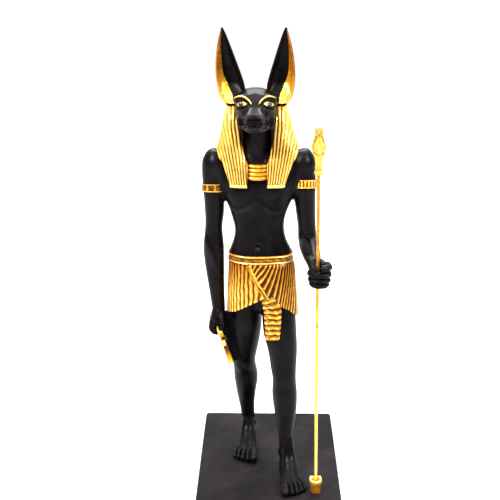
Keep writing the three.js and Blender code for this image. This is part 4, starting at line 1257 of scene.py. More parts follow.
@dataclass
class Wig:
    """The long striped wig, with two lappets that come forward over the shoulders and end in bands."""

    levels: Rows = field(default_factory=lambda: [
        (192.3, 6.2, -17, 16.2, -15.4, 16.2), (199, 6.1, -16.4, 18.2, -13.6, 16.6), (206, 6.1, -15.4, 21, -10.5, 17),
        (213, 8.3, -13.2, 24.6, -6.4, 17.9), (225, 10.8, -10.4, 21.6, -4.5, 18.3), (236, 12.6, -6.6, 18.9, -2, 17.8),
        (242.6, 12, 6.2, 16.8, 6.8, 16.8), (248.8, 8, 6.4, 12.4, 6.8, 13.6)])
    band: tuple[float, float, float] = (192.2, 194.0, 0.55)
    spread: tuple[Row, Row] = ((6.2, 8.3), (1.43, 2.33))
    lappet_strands: int = 7
    back_strands: int = 13
    steps: int = 7
    depth: float = 0.6
    overlap: float = 0.2

    def ring(self, row: np.ndarray, side: int, proud: float, depth: float) -> tuple[np.ndarray, np.ndarray]:
        """One level of half the wig.

        Args:
            row: Height, inner x and y, outer x and y, and the reach at the back.
            side: -1 or 1.
            proud: How far out it stands.
            depth: How deep its grooves are.

        Returns:
            The points, and how far out of a groove each is.
        """
        z, ix, iy, ox, oy, back = row
        inner, outer = np.array((ix, iy)), np.array((ox, oy))
        middle = np.array(((ix + ox) / 2, iy - 0.4))
        t = np.linspace(0, 1, self.lappet_strands * self.steps + 1)[:, None]
        front = (1 - t) ** 2 * inner + 2 * t * (1 - t) * middle + t ** 2 * outer
        start, pitch = (float(np.interp(z, (self.levels[0][0], 228), span)) for span in self.spread)
        phase = (front[:, 0] - start) / pitch
        rise = ridge(phase + 0.05 * math.sin(0.4 * z) * np.sin(3 * np.pi * t[:, 0]), 0.85)
        s = np.linspace(0, 1, self.back_strands * self.steps + 1)[:, None]
        hold = np.array((ox * 1.08, oy + (back - oy) * 0.75))
        pull, end = np.array((ox * 0.8, back)), np.array((-self.overlap, back))
        behind = (1 - s) ** 3 * outer + 3 * s * (1 - s) ** 2 * hold + 3 * s ** 2 * (1 - s) * pull + s ** 3 * end
        wave = 0.10 * np.sin(z * 0.31 + 2.0) + 0.06 * np.sin(z * 0.83)
        rise = np.concatenate([rise, ridge(phase[-1] + s[1:, 0] * (self.back_strands + 7 - phase[-1]) + wave * np.sin(np.pi * s[1:, 0]))])
        line = np.concatenate([front, behind[1:]])
        along = np.gradient(line, axis=0)
        along /= np.linalg.norm(along, axis=1)[:, None] + 1e-9
        near = np.concatenate([t[:, 0], np.ones(len(s) - 1)])
        keep = np.interp(near, [0, 0.35, 0.6, 1], [1.35, 1.2, 0.7, 0.5]) if z > 217 else np.interp(near, [0, 0.7, 1], [1.15, 1.1, 0.7])
        rise = 1 - (1 - rise) * keep
        out = (proud + depth * (rise - 0.15))[:, None]
        line = line + np.stack([along[:, 1], -along[:, 0]], axis=1) * out
        root = max(-10 if z < 206.4 else -3, iy + 1)
        line = np.concatenate([line, [(-self.overlap, root), (ix, root)]])
        points = np.stack([side * line[:, 0], line[:, 1], np.full(len(line), z)], axis=1)
        return points, np.concatenate([rise, (0.0, 0.0)])

    def half(self, side: int) -> list[Thing]:
        """Models half the wig and the band at its lappet's end."""
        rows = Clay.through(self.levels, 60)
        rings, relief = zip(*(self.ring(row, side, 0.0, self.depth) for row in rows))
        gold = np.full((len(rings) - 1, rings[0].shape[0]), Paint.GOLD.value)
        low, high, proud = self.band
        row = rows[0].copy()
        bands, marks = [], []
        for z, out in ((low, proud * 0.5), (low + 0.25, proud), (high - 0.3, proud), (high, proud * 0.4)):
            row[0] = z
            points, rise = self.ring(row, side, out, self.depth * 0.3)
            bands.append(points)
            marks.append(0.75 + 0.25 * rise)
        gilt = np.full((3, bands[0].shape[0]), Paint.GOLD.value)
        return [
            Clay.loft("wig_half", leaned(np.array(rings)), gold, np.array(relief), Paint.GOLD),
            Clay.loft("wig_band", leaned(np.array(bands)), gilt, np.array(marks), Paint.GOLD),
        ]

    def solids(self) -> list[Thing]:
        """Models both halves."""
        return self.half(-1) + self.half(1)


@dataclass
class Collar:
    """Rows of beads on the breast between the lappets."""

    foot: float = 197.4
    top: float = 206.4
    rows: int = 4
    bead: float = 1.15
    sag: float = 0.9

    def solid(self) -> Thing:
        """Models the collar."""
        turn = np.linspace(0, 2 * np.pi, 180, endpoint=False)
        rings, relief = [], []
        for at in np.linspace(0.02, self.rows, 41):
            share = at / self.rows
            band = ridge(np.array(at), 0.5)
            half, front = 10.0, 15.7 + (12.4 - 15.7) * share
            c, s = (np.sign(v) * np.abs(v) ** (2 / 2.6) for v in (np.cos(turn), np.sin(turn)))
            x = half * c
            beads = 0.5 + 0.5 * np.abs(np.sin(np.pi * (x + 20 + 0.5 * int(at)) / self.bead)) ** 0.7
            out = 0.62 * band * (0.72 + 0.28 * beads)
            reach = np.where(s < 0, front + out, 3)
            z = self.foot + share * (self.top - self.foot) - self.sag * (1 - share * 0.4) * (1 - (x / half) ** 2) * (s < 0)
            rings.append(np.stack([x, reach * s, z], axis=1))
            relief.append(0.72 * band * (0.4 + 0.6 * beads))
        paints = np.full((len(rings) - 1, len(turn)), Paint.GOLD.value)
        return Clay.loft("collar", leaned(np.array(rings)), paints, np.array(relief), Paint.GOLD)


@dataclass
class Armlet:
    """A band round an upper arm, with raised rims and upright ribs or panels."""

    x: float
    z: float
    half: float
    depth: float
    high: float
    ribs: int
    panels: bool
    tip: float = 0.17

    def solid(self) -> Thing:
        """Models the armlet."""
        sides = (14 if self.panels else 10) * self.ribs
        turn = np.linspace(0, 2 * np.pi, sides, endpoint=False)
        rings, relief = [], []
        for at in np.concatenate([[-1.0], np.linspace(-0.99, 0.99, 24), [1.0]]):
            edge = abs(at)
            rim = math.exp(-(((edge - 0.83) / 0.13) ** 4))
            inside = edge < 0.66
            if self.panels:
                bar = np.exp(-((np.mod(turn * self.ribs / (2 * np.pi) + 0.5, 1) - 0.5) / 0.09) ** 2)
                rise = 0.22 + 0.35 * bar
            else:
                rise = 0.55 * ridge(turn * self.ribs / (2 * np.pi), 0.7)
            body = rise if inside else 0 * turn
            out = 0.4 + 0.65 * rim + body * (1 - rim) * np.clip((0.7 - edge) / 0.08, 0, 1)
            y = (self.depth + out) * np.sin(turn)
            z = self.z + at * self.high / 2 - self.tip * y
            rings.append(np.stack([self.x + (self.half + out) * np.cos(turn), y, z], axis=1))
            level = np.maximum(rim, (rise / 0.55 if inside else 0 * turn) * (1.0 if not self.panels else 0.85))
            relief.append(np.clip(0.74 * level, 0.08, 1) + 0 * turn)
        paints = np.full((len(rings) - 1, sides), Paint.GOLD.value)
        return Clay.loft("armlet", np.array(rings), paints, np.array(relief), Paint.GOLD)


@dataclass
class Kilt:
    """A pleated kilt: a skirt, an overlap with a corded border, a belt and a sash. Angles are from the front."""

    belt_top: float = 147.2
    belt_foot: float = 141.8
    lowest: float = 102.0
    square: float = 2.4
    middle: tuple[float, float] = (1.35, 2.6)
    half: tuple[float, float] = (20, 22.9)
    front: tuple[float, float] = (13.2, 18.6)
    back: tuple[float, float] = (14.4, 21.8)
    flare: float = 0.85
    border_start: float = -17
    border_end: float = 6
    border_top: float = 141.6
    border_foot: float = 120.5
    panel_end: float = 125
    proud: float = 1.2
    pleat: float = 0.55
    skirt_pleats: int = 30
    hem: Rows = field(default_factory=lambda: [
        (-235, 102), (-180, 102), (-140, 103), (-90, 107), (-67, 108.4), (-50, 109.9), (-38, 111.7), (-19, 115.2),
        (-7, 117.7), (6, 120.5), (17.5, 117.2), (30, 114.7), (40.5, 112.7), (56, 108.4), (90, 103.5), (125, 102)])
    pleat_ends: Rows = field(default_factory=lambda: [
        (-17, -17), (3.5, -8.5), (14, -4.3), (21, 0.3), (29, 6), (37, 17), (43, 24), (53, 31), (85, 56), (110, 100),
        (125, 125)])
    sash_middle: Rows = field(default_factory=lambda: [(93, 9.1), (97, 9.2), (107, 9.2), (114, 8.9), (117, 7.4), (120.6, 5.6)])
    sash_half: Rows = field(default_factory=lambda: [(93, 4.2), (97, 4.6), (107, 5.2), (114, 5.4), (117, 4.6), (120.6, 3.2)])
    sash_ribs: int = 8

    def point(self, degrees: np.ndarray, z: np.ndarray, out: np.ndarray) -> np.ndarray:
        """Where the kilt's surface is.

        Args:
            degrees: Angles from the front, towards +X.
            z: Heights.
            out: How far out of the plain surface.

        Returns:
            The points.
        """
        degrees, z, out = np.broadcast_arrays(degrees, z, out)
        t = (self.belt_foot - z) / (self.belt_foot - self.lowest)
        across, ahead = around(np.radians(degrees), self.square)
        down = np.maximum(t, 0) ** self.flare
        reach = np.where(ahead > 0, self.front[0] + (self.front[1] - self.front[0]) * down,
                         self.back[0] + (self.back[1] - self.back[0]) * down)
        middle = self.middle[0] + (self.middle[1] - self.middle[0]) * t
        half = self.half[0] + (self.half[1] - self.half[0]) * t
        return np.stack([middle + (half + out) * across, -(reach + out) * ahead, z], axis=-1)

    def hem_at(self, angle: np.ndarray) -> np.ndarray:
        """The height of the hem at an angle from -235 to 125."""
        table = np.array(self.hem)
        return np.interp(angle, table[:, 0], table[:, 1])

    def skirt(self) -> Thing:
        """Models the skirt with its rounded, slightly wavy pleats."""
        per = 8
        count = self.skirt_pleats * per + 1
        turn = np.linspace(0, 1, count)
        shown = self.border_end + (self.panel_end - 360 - self.border_end) * turn
        hidden = np.linspace(self.panel_end - 360, self.border_end - 360, 9)[1:-1]
        angle = np.concatenate([shown, hidden])[::-1]
        place = np.concatenate([turn * self.skirt_pleats, np.full(len(hidden), 0.0)])[::-1]
        hem = self.hem_at(np.where(angle < -235, angle + 360, angle))
        rings, relief = [], []
        for t in np.concatenate([np.linspace(0, 1, 32), [1.008]]):
            tuck = -1.9 if t > 1 else -0.35 * max(0.0, t - 0.985) / 0.015
            z = self.belt_foot + 1 + (hem - self.belt_foot - 1) * t
            sway = 0.06 * np.sin(z * 0.35 + place * 0.9) + 0.05 * np.sin(z * 0.8 + place * 2.3)
            rise = ridge(place + np.where(place > 0, sway, 0), 0.55)
            rise[: len(hidden)] = 0
            rings.append(self.point(angle + sway * 1.4 * (t > 0.05), z, self.pleat * rise * min(1, t * 12) + tuck))
            # Pleat ridges take a painted highlight and the grooves the wash, and the whole skirt is painted darker
            # towards the belt.
            lit_tone = (0.1 + 0.7 * rise ** 2) * (0.55 + 0.45 * min(1, 1.6 * t))
            # The tuck under the hem and the skirt's inside are painted in the darkest tone, painted shade.
            relief.append(np.where(t > 1, 0.1, lit_tone))
        rings.append(self.point(angle, 117, -9))
        relief.append(0 * angle)
        paints = np.full((len(rings) - 1, len(angle)), Paint.GOLD.value)
        paints[-2:] = Paint.RESIN.value
        return Clay.loft("skirt", np.array(rings), paints, np.array(relief))

    def panel(self) -> Thing:
        """Models the overlap, whose knife pleats run down from the belt to the border and the hem."""
        table = np.array(self.pleat_ends)
        fine = np.concatenate([np.linspace(a, b, 13)[:-1] for a, b in zip(self.pleat_edges()[:-1], self.pleat_edges()[1:])])
        tops = np.append(fine, self.panel_end)
        saw = np.concatenate([self.knife(np.linspace(0, 1, 13)[:-1]) for _ in self.pleat_edges()[1:]])
        saw = np.append(saw, 0.0)
        foot = np.interp(tops, table[:, 0], table[:, 1])
        on_border = (foot - self.border_start) / (self.border_end - self.border_start)
        height = np.where(on_border < 1, self.border_top + (self.border_foot - self.border_top) * on_border,
                          self.hem_at(foot)) - 0.3
        fade = 1 - np.clip((tops - 80) / (self.panel_end - 80), 0, 1) ** 2 * (3 - 2 * np.clip((tops - 80) / (self.panel_end - 80), 0, 1))
        levels = np.linspace(0, 1, 30)
        z0 = self.belt_foot + 0.6
        rings, relief = [], []
        for top, end, low, f, s in zip(tops, foot, height, fade, saw):
            reach = self.proud * f * np.minimum(1, 0.2 + levels * 8) + (self.pleat * 1.1 * s) * np.minimum(1, levels * 10)
            outer = self.point(top + (end - top) * levels, z0 + (low - z0) * levels, reach)
            deep = levels[::-5]
            inner = self.point(top + (end - top) * deep, z0 + (low - z0) * deep, -0.9)
            rings.append(np.concatenate([outer, inner]))
            relief.append(np.concatenate([s * (0.7 + 0.3 * levels), np.zeros(len(deep))]))
        paints = np.full((len(rings) - 1, len(rings[0])), Paint.GOLD.value)
        return Clay.loft("panel", np.array(rings), paints, np.array(relief), Paint.GOLD)

    def pleat_edges(self) -> np.ndarray:
        """The angles on the belt where the overlap's pleats part."""
        return np.concatenate([np.linspace(self.border_start + 1, 62, 13), np.linspace(69, self.panel_end, 8)])

    def knife(self, t: np.ndarray) -> np.ndarray:
        """A knife pleat across, in height and tone: an amber valley, an edge lifted to a painted highlight and a dark
        line past it.
        """
        edge = np.exp(-(((t - 0.74) / 0.2) ** 2))
        return np.clip(0.24 + 0.58 * edge - 0.2 * np.exp(-((t / 0.14) ** 2)) - 0.2 * np.exp(-(((t - 1) / 0.1) ** 2)), 0, 1)

    def border(self) -> list[Thing]:
        """Models the overlap's edge: two cords side by side."""
        made = []
        for shift, lift in ((-0.55, 0.25), (0.75, 0.45)):
            t = np.linspace(0, 1, 40)
            z = self.border_top + (self.border_foot - 0.6 - self.border_top) * t
            angle = self.border_start + (self.border_end - self.border_start) * t
            path = self.point(angle + shift * 2.1, z + shift * 0.5, self.proud + lift)
            made.append(Clay.toned(Clay.sweep("border", path, 0.62, 0.62, 12, taper=False), 0.25 + lift))
        return made

    def belt(self) -> Thing:
        """Models the belt: two cords lifted to a painted highlight, with a rough strip between them."""
        count = 240
        angle = -np.linspace(0, 360, count, endpoint=False)
        rings, relief = [], []
        for t in np.linspace(0, 1, 30):
            cord = max(math.exp(-(((t - 0.13) / 0.11) ** 2)), math.exp(-(((t - 0.87) / 0.11) ** 2)))
            strip = math.exp(-(((t - 0.5) / 0.2) ** 4))
            wave = np.sin(np.radians(angle) * 34 + 2.4 * math.sin(6 * t)) * np.sin(np.radians(angle) * 11 + 5 * t)
            out = 0.3 + 0.8 * cord + strip * (0.16 + 0.22 * np.abs(wave) ** 1.5)
            z = self.belt_foot + (self.belt_top - self.belt_foot) * t
            rings.append(self.point(angle, np.full(count, z) + 0.12 * np.sin(np.radians(angle) * 5), out))
            relief.append(np.clip(0.85 * cord + strip * (0.2 + 0.3 * np.abs(wave)), 0.05, 1))
        paints = np.full((len(rings) - 1, count), Paint.GOLD.value)
        return Clay.loft("belt", np.array(rings), paints, np.array(relief), Paint.GOLD)

    def sash(self) -> Thing:
        """Models the pleated end of cloth that hangs down the front."""
        middle, half = np.array(self.sash_middle), np.array(self.sash_half)
        foot, top = 93.0, 120.6
        turn = np.linspace(0, 2 * np.pi, 64, endpoint=False)
        c, s = (np.sign(v) * np.abs(v) ** 0.5 for v in (np.cos(turn), np.sin(turn)))
        rings, relief = [], []
        for t in np.linspace(0, 1, self.sash_ribs * 9 + 1):
            z = foot + (top - foot) * t
            x, reach = np.interp(z, middle[:, 0], middle[:, 1]), np.interp(z, half[:, 0], half[:, 1])
            slant = np.clip((z - 112) / 8, 0, 1) * 0.42
            rise = float(ridge(np.array(t * self.sash_ribs), 0.6))
            front = 20 + 0.6 * rise - 2.2 * t
            y = -(front + 15) / 2 + (front - 15) / 2 * s
            across = c * (reach + 0.3 * rise)
            wave = 0.22 * np.sin(across * 0.9 + 5 * t) + 0.14 * np.sin(across * 1.9 - 11 * t)
            rings.append(np.stack([x + across, y, z + across * slant + wave * min(1, 12 * t)], axis=1))
            relief.append(0.06 + (0.62 + 0.12 * np.sin(across * 1.3 + 17 * t)) * rise ** 1.9)
        paints = np.full((len(rings) - 1, 64), Paint.GOLD.value)
        return Clay.loft("sash", np.array(rings), paints, np.array(relief), Paint.GOLD)

    def solids(self) -> list[Thing]:
        """Models the whole kilt."""
        return [self.skirt(), self.panel(), *self.border(), self.belt(), self.sash()]


# The pieces


@dataclass
class Ankh:
    """The gold ankh that hangs from the right fist, shaped about its crossing and then hung."""

    place: Row = (-22.7, -1.2, 86.1)
    lean: float = 0.278
    thickness: float = 3.3
    loop_half: float = 6.2
    loop_height: float = 12.0
    loop_bar: float = 2.1
    arm: float = 7.4
    stem: float = 17.2
    limb: float = 1.25
    limb_end: float = 1.9

    def hung(self, thing: Thing) -> Thing:
        """Turns a piece drawn with x across and z up so that it hangs at the thigh."""
        turn = Matrix(((0, 1, 0), (1, 0, 0), (0, 0, 1))).to_4x4()
        thing.data.transform(turn)
        thing.data.transform(Matrix.Translation(self.place) @ Matrix.Rotation(-self.lean, 4, "Y"))
        thing.data.flip_normals()
        return thing

    def loop(self, grow: float) -> Thing:
        """Models the loop.

        Args:
            grow: How much larger it is all round.

        Returns:
            The loop, as a closed ring.
        """
        count, sides = 64, 20
        half, high = self.loop_half, self.loop_height
        t = np.linspace(0, 1, count // 2 + 1)

        def curve(inset: float) -> np.ndarray:
            """The teardrop, set in from its outside."""
            p = np.array([(0, 0.4 + inset), (half * 1.1 - inset, high * 0.4), (half * 1.75 - inset * 1.5, high - inset),
                          (0, high - inset)])
            one = sum(k[:, None] * q for k, q in zip(((1 - t) ** 3, 3 * t * (1 - t) ** 2, 3 * t ** 2 * (1 - t), t ** 3), p))
            return np.concatenate([one, (one * (-1, 1))[-2:0:-1]])

        outer, inner = curve(-grow), curve(self.loop_bar + grow)
        middle, reach = (outer + inner) / 2, (outer - inner) / 2
        turn = np.linspace(0, 2 * np.pi, sides, endpoint=False)
        c, s = (np.sign(v) * np.abs(v) ** 0.62 for v in (np.cos(turn), np.sin(turn)))
        deep = self.thickness / 2 + grow
        points = np.zeros((len(middle), sides, 3))
        points[:, :, 0] = middle[:, None, 0] + reach[:, None, 0] * c
        points[:, :, 2] = middle[:, None, 1] + reach[:, None, 1] * c
        points[:, :, 1] = deep * s
        n = len(middle)
        faces = [(i * sides + j, i * sides + (j + 1) % sides, (i + 1) % n * sides + (j + 1) % sides, (i + 1) % n * sides + j)
                 for i in range(n) for j in range(sides)]
        made = Clay.mesh("ankh_loop", points.reshape(-1, 3), faces, np.full(len(faces), Paint.GOLD.value))
        Clay.outward(made)
        return made

    def bar(self, length: float, turn: float, grow: float) -> Thing:
        """Models a limb of the cross.

        Args:
            length: Its length.
            turn: Its turn from upright, in radians.
            grow: How much larger it is all round.

        Returns:
            The limb.
        """
        bpy.ops.object.select_all(action="DESELECT")
        bpy.ops.mesh.primitive_cube_add(size=1, location=(0, 0, (length + grow - 1) / 2),
                                        scale=(2 * (self.limb + grow), self.thickness + 2 * grow, length + grow + 1))
        made = bpy.context.object
        bpy.ops.object.transform_apply(location=True, rotation=True, scale=True)
        for vertex in made.data.vertices:
            if vertex.co.z > 0:
                vertex.co.x *= (self.limb_end + grow) / (self.limb + grow)
        Clay.apply(made, "BEVEL", width=0.38, segments=3)
        made.data.transform(Matrix.Rotation(turn, 4, "Y"))
        Clay.painted(made, Paint.GOLD)
        return made

    def solid(self, grow: float = 0.0) -> Thing:
        """Models the ankh.

        Args:
            grow: How much larger it is all round.

        Returns:
            The ankh, in millimetres about the figure's middle.
        """
        made = self.loop(grow)
        for length, turn in ((self.stem, math.pi), (self.arm, math.pi / 2), (self.arm, -math.pi / 2)):
            Clay.combine(made, self.bar(length, turn, grow))
        return self.hung(made)


@dataclass
class Figure:
    """The casting of the figure, from its pointed ears to its soles."""

    skin_faces: int = 83000
    flesh: Flesh = field(default_factory=Flesh)
    head: Head = field(default_factory=Head)
    kilt: Kilt = field(default_factory=Kilt)
    ankh: Ankh = field(default_factory=Ankh)
    crease: float = 38.0

    def ornaments(self, skin: BVHTree) -> list[Thing]:
        """Models everything that is laid on the black skin."""
        made = [Ear(-1).solid(), Ear(1).solid(), *Wig().solids(), Collar().solid(), *self.kilt.solids()]
        made += [
            Armlet(-28.2, 188.4, 6.8, 7.7, 5.2, 9, True).solid(),
            Armlet(28.7, 191.2, 7.1, 8.0, 5.6, 22, False).solid(),
            self.web(),
        ]
        for side in (-1, 1):
            made += [self.head.eyeball(side, skin), *self.head.lids(side, skin)]
        return made

    def web(self) -> Thing:
        """Models the web of casting that steadies the ankh's foot against the thigh."""
        rings = np.array([[(edge, -1.2, z), (-12, 1.3, z), (-12, 5, z), (edge, 2.2, z)]
                          for z, edge in ((70.6, -17.6), (84, -21.2), (92, -24.5), (105, -25.5))])
        return Clay.loft("web", rings)

    def clearances(self) -> list[Thing]:
        """Models what is cut away: what is below the soles, the room round the rod and that round the ankh."""
        bpy.ops.object.select_all(action="DESELECT")
        bpy.ops.mesh.primitive_cube_add(size=1, location=(0, 0, -10), scale=(120, 160, 20))
        below = bpy.context.object
        bpy.ops.object.transform_apply(location=True, rotation=True, scale=True)
        bpy.ops.mesh.primitive_cylinder_add(vertices=40, radius=ROD_CLEARANCE, depth=60)
        bore = bpy.context.object
        x = STAFF_PLACE[0] - FIGURE_PLACE[0] - STAFF_LEAN * 146
        bore.data.transform(Matrix.Translation((x, STAFF_PLACE[1], 146)) @ Matrix.Rotation(-STAFF_LEAN, 4, "Y"))
        made = [below, bore, self.ankh.solid(0.3)]
        for thing in made:
            Clay.painted(thing, Paint.RESIN)
        return made

    def build(self) -> Thing:
        """Models the figure and puts it on the slab.

        Returns:
            The figure, in metres in the statuette's frame.
        """
        parts = [self.head, Foot("right_foot", (-6.7, 31), -0.05, 1), Foot("left_foot", (18.4, -11.5), 0.13, -1),
                 HangingFist(), GrippingFist()]
        body = self.flesh.solid([part.solid() for part in parts])
        tool = Chisel(body)
        for part in (self.flesh, *parts):
            part.carve(tool)
        tool.lay_down()
        ornaments = self.ornaments(Skin.tree(body))
        Clay.thin(body, self.skin_faces)
        Clay.painted(body, Paint.RESIN)
        for piece in ornaments:
            Clay.combine(body, piece)
        for piece in self.clearances():
            Clay.combine(body, piece, "DIFFERENCE")
        Clay.largest(body)
        body.name = body.data.name = "figure_cast"
        Clay.placed(body)
        Clay.choose(body)
        bpy.ops.object.shade_smooth_by_angle(angle=math.radians(self.crease))
        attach(body, "root")
        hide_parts("figure")
        return body


@dataclass
class Staff:
    """The thin staff in its cup, with a stylised animal's head. Sizes are in millimetres along it from the slab."""

    rod_radius: float = 1.0
    rod_top: float = 212.1
    head_foot: float = 207.6
    head_height: float = 27.5
    gap: float = 0.3
    cup_floor: float = 1.8
    head_rings: Rows = field(default_factory=lambda: [
        (0, 2.1, 2.1, 2.1), (0.8, 2.6, 2.6, 2.6), (1.8, 2.6, 2.6, 2.6), (2.6, 2.1, 2.1, 2.1), (7, 2, 2.1, 2.1),
        (10.5, 2.6, 3, 2.8), (13.5, 3.6, 4.6, 3.6), (16.5, 4.3, 4.4, 3.8), (19, 3.6, 3.6, 3.6), (22, 2.6, 2.6, 2.8),
        (25, 2.4, 2.1, 2.5), (27.3, 2.5, 1.9, 2.3)])
    snout: Rows = field(default_factory=lambda: [
        (0, -2, 16.5, 2.2, 2.2), (0, -5.5, 15, 1.8, 1.7), (0, -7.8, 13.6, 1.3, 1.2), (0, -8.5, 13.1, 0.7, 0.6)])
    cup_outside: Rows = field(default_factory=lambda: [
        (2.9, 0.0), (3.15, 0.3), (3.2, 0.9), (3.1, 3.0), (3.25, 5.0), (3.65, 7.0), (3.85, 8.1), (3.8, 8.6), (3.5, 8.85)])
    cup_inside: Rows = field(default_factory=lambda: [(2.95, 8.7), (2.65, 8.0), (2.3, 5), (2.0, 1.8)])
    cup_horn: float = 0.7

    def stood(self, thing: Thing) -> Thing:
        """Stands a piece drawn along Z on the slab, leaning as the staff does, in metres."""
        lean = Matrix.Rotation(-STAFF_LEAN, 4, "Y")
        thing.data.transform(Matrix.Translation(Vector(STAFF_PLACE) * MM) @ lean @ Matrix.Scale(MM, 4))
        return thing

    def rod(self) -> Thing:
        """Models the rod, which was rolled by hand and isn't quite even."""
        foot = self.cup_floor + self.gap
        rows = [(0, 0, foot + (self.rod_top - foot) * t, *[self.rod_radius * (0.985 + 0.012 * math.sin(40 * t))] * 2)
                for t in np.linspace(0, 1, 60)]
        made = Clay.limb("staff_rod_cast", rows, 120, 28, paint=Paint.GOLD)
        level = np.interp(Clay.points(made)[:, 2], [0, 90, 150, self.rod_top], [0.85, 0.7, 0.5, 0.5])
        return self.stood(Clay.toned(made, level))

    def head(self) -> Thing:
        """Models the animal's head at the top, with its two upright ears and long snout."""
        rings = Clay.level_rings(np.array([(z, 0, 0, half, front, back) for z, half, front, back
                                           in Clay.through(self.head_rings, 60)]), 48, 2.3)
        made = Clay.join([Clay.loft("staff_head_cast", rings), Clay.limb("snout", self.snout, 20, 24)])
        Clay.remesh(made, 0.22, 3)
        tool = Chisel(made)
        # The strokes press in the eyes, the grooves above them, the nostrils and the mouth and leave them darker toward
        # the wash; the whole head is then painted lighter, toward the painted highlight.
        for side in (-1, 1):
            tool.stroke([(side * 1.5, -4.9, 17.4)], 0.6, -0.6, -0.5)
            tool.stroke([(side * 3.0, -2.0, 19.4), (side * 2.2, -2.6, 22.6)], 0.7, -0.6, -0.3)
            tool.stroke([(side * 0.9, -8.8, 12.6), (side * 1.6, -6.4, 13.6)], 0.4, -0.35, -0.35)
        tool.stroke([(-4.3, -1.6, 14.2), (-3.2, -4.2, 12.8), (0, -5.0, 11.6), (3.2, -4.2, 12.8), (4.3, -1.6, 14.2)],
                    0.55, -0.45, -0.35)
        tool.tones += 0.2
        tool.lay_down()
        Clay.thin(made, 20000)
        Clay.painted(made, Paint.GOLD)
        bpy.ops.object.select_all(action="DESELECT")
        bpy.ops.mesh.primitive_cube_add(size=1, location=(0, 0, self.head_height), scale=(0.6, 12, 8))
        parting = Clay.painted(bpy.context.object, Paint.GOLD)
        bpy.ops.object.transform_apply(location=True, rotation=True, scale=True)
        Clay.combine(made, parting, "DIFFERENCE")
        bpy.ops.object.select_all(action="DESELECT")
        bpy.ops.mesh.primitive_cylinder_add(vertices=32, radius=ROD_CLEARANCE,
                                            depth=2 * (self.rod_top - self.head_foot + self.gap))
        Clay.combine(made, Clay.painted(bpy.context.object, Paint.GOLD), "DIFFERENCE")
        made.data.transform(Matrix.Translation((0, 0, self.head_foot)))
        return self.stood(made)

    def cup(self) -> Thing:
        """Models the squarish cup that the staff stands in, with its round bore."""
        sides = 64
        rows = [(z, 0, 0, r, r, r) for r, z in self.cup_outside]
        bore = [(z, 0, 0, r, r, r) for r, z in self.cup_inside]
        rings = np.concatenate([Clay.level_rings(np.array(rows), sides, 3.8), Clay.level_rings(np.array(bore), sides, 2)])
        corner = (np.abs(rings[..., 0]) + np.abs(rings[..., 1])) / np.maximum(np.hypot(rings[..., 0], rings[..., 1]), 1e-9)
        horn = np.clip((corner - 1) / 0.414, 0, 1) ** 1.5
        rings[..., 2] += self.cup_horn * horn * np.clip((rings[..., 2] - 5) / 3, 0, 1) ** 1.5
        made = Clay.loft("staff_foot_cast", rings, np.full((len(rings) - 1, sides), Paint.GOLD.value), cap_paint=Paint.GOLD)
        # The rim is painted lighter than the body, a painted highlight on its upper edge.
        return self.stood(Clay.toned(made, 0.42 + 0.4 * np.clip((rings[..., 2].ravel() - 6.5) / 2, 0, 1)))

    def build(self) -> list[Thing]:
        """Models the rod, its head and its cup, and names what they stand for."""
        made = []
        for piece, node in ((self.rod(), "staff_rod"), (self.head(), "staff_head"), (self.cup(), "staff_foot")):
            piece.name = piece.data.name = node + "_cast"
            Clay.choose(piece)
            bpy.ops.object.shade_smooth_by_angle(angle=math.radians(40))
            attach(piece, "root")
            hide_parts(node)
            made.append(piece)
        return made


@dataclass
class Slab:
    """The flat slab that everything stands on, in metres."""

    width: float = 0.092
    depth: float = 0.130
    height: float = 0.012
    corner: float = 0.0025
    edge: float = 0.0007

    def build(self) -> Thing:
        """Models the slab with softly broken edges."""
        bpy.ops.object.select_all(action="DESELECT")
        bpy.ops.mesh.primitive_cube_add(size=1, location=(0, 0, self.height / 2), scale=(self.width, self.depth, self.height))
        made = bpy.context.object
        bpy.ops.object.transform_apply(location=True, rotation=True, scale=True)
        self.bevel(made, lambda a, b: abs(a.z - b.z) > self.height / 2, self.corner, 6)
        self.bevel(made, lambda a, b: abs(a.z - b.z) < 1e-6 and (min(a.z, b.z) > self.height - 1e-6 or max(a.z, b.z) < 1e-6),
                   self.edge, 4)
        made.name = made.data.name = "slab_cast"
        made.data.materials.append(SlabResin().material())
        Clay.choose(made)
        bpy.ops.object.shade_smooth_by_angle(angle=math.radians(30))
        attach(made, "root")
        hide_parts("base")
        return made

    def bevel(self, thing: Thing, chosen: Callable[[Vector, Vector], bool], width: float, segments: int) -> None:
        """Bevels the edges that a test picks.

        Args:
            thing: The object.
            chosen: Takes an edge's two ends and says whether it is bevelled.
            width: How wide the bevel is.
            segments: How many faces it has.
        """
        Clay.choose(thing)
        bpy.ops.object.mode_set(mode="EDIT")
        bpy.ops.mesh.select_mode(type="EDGE")
        bpy.ops.mesh.select_all(action="DESELECT")
        bpy.ops.object.mode_set(mode="OBJECT")
        places = [vertex.co for vertex in thing.data.vertices]
        for line in thing.data.edges:
            line.select = chosen(places[line.vertices[0]], places[line.vertices[1]])
        bpy.ops.object.mode_set(mode="EDIT")
        bpy.ops.mesh.bevel(offset=width, segments=segments, profile=0.5, affect="EDGES")
        bpy.ops.object.mode_set(mode="OBJECT")


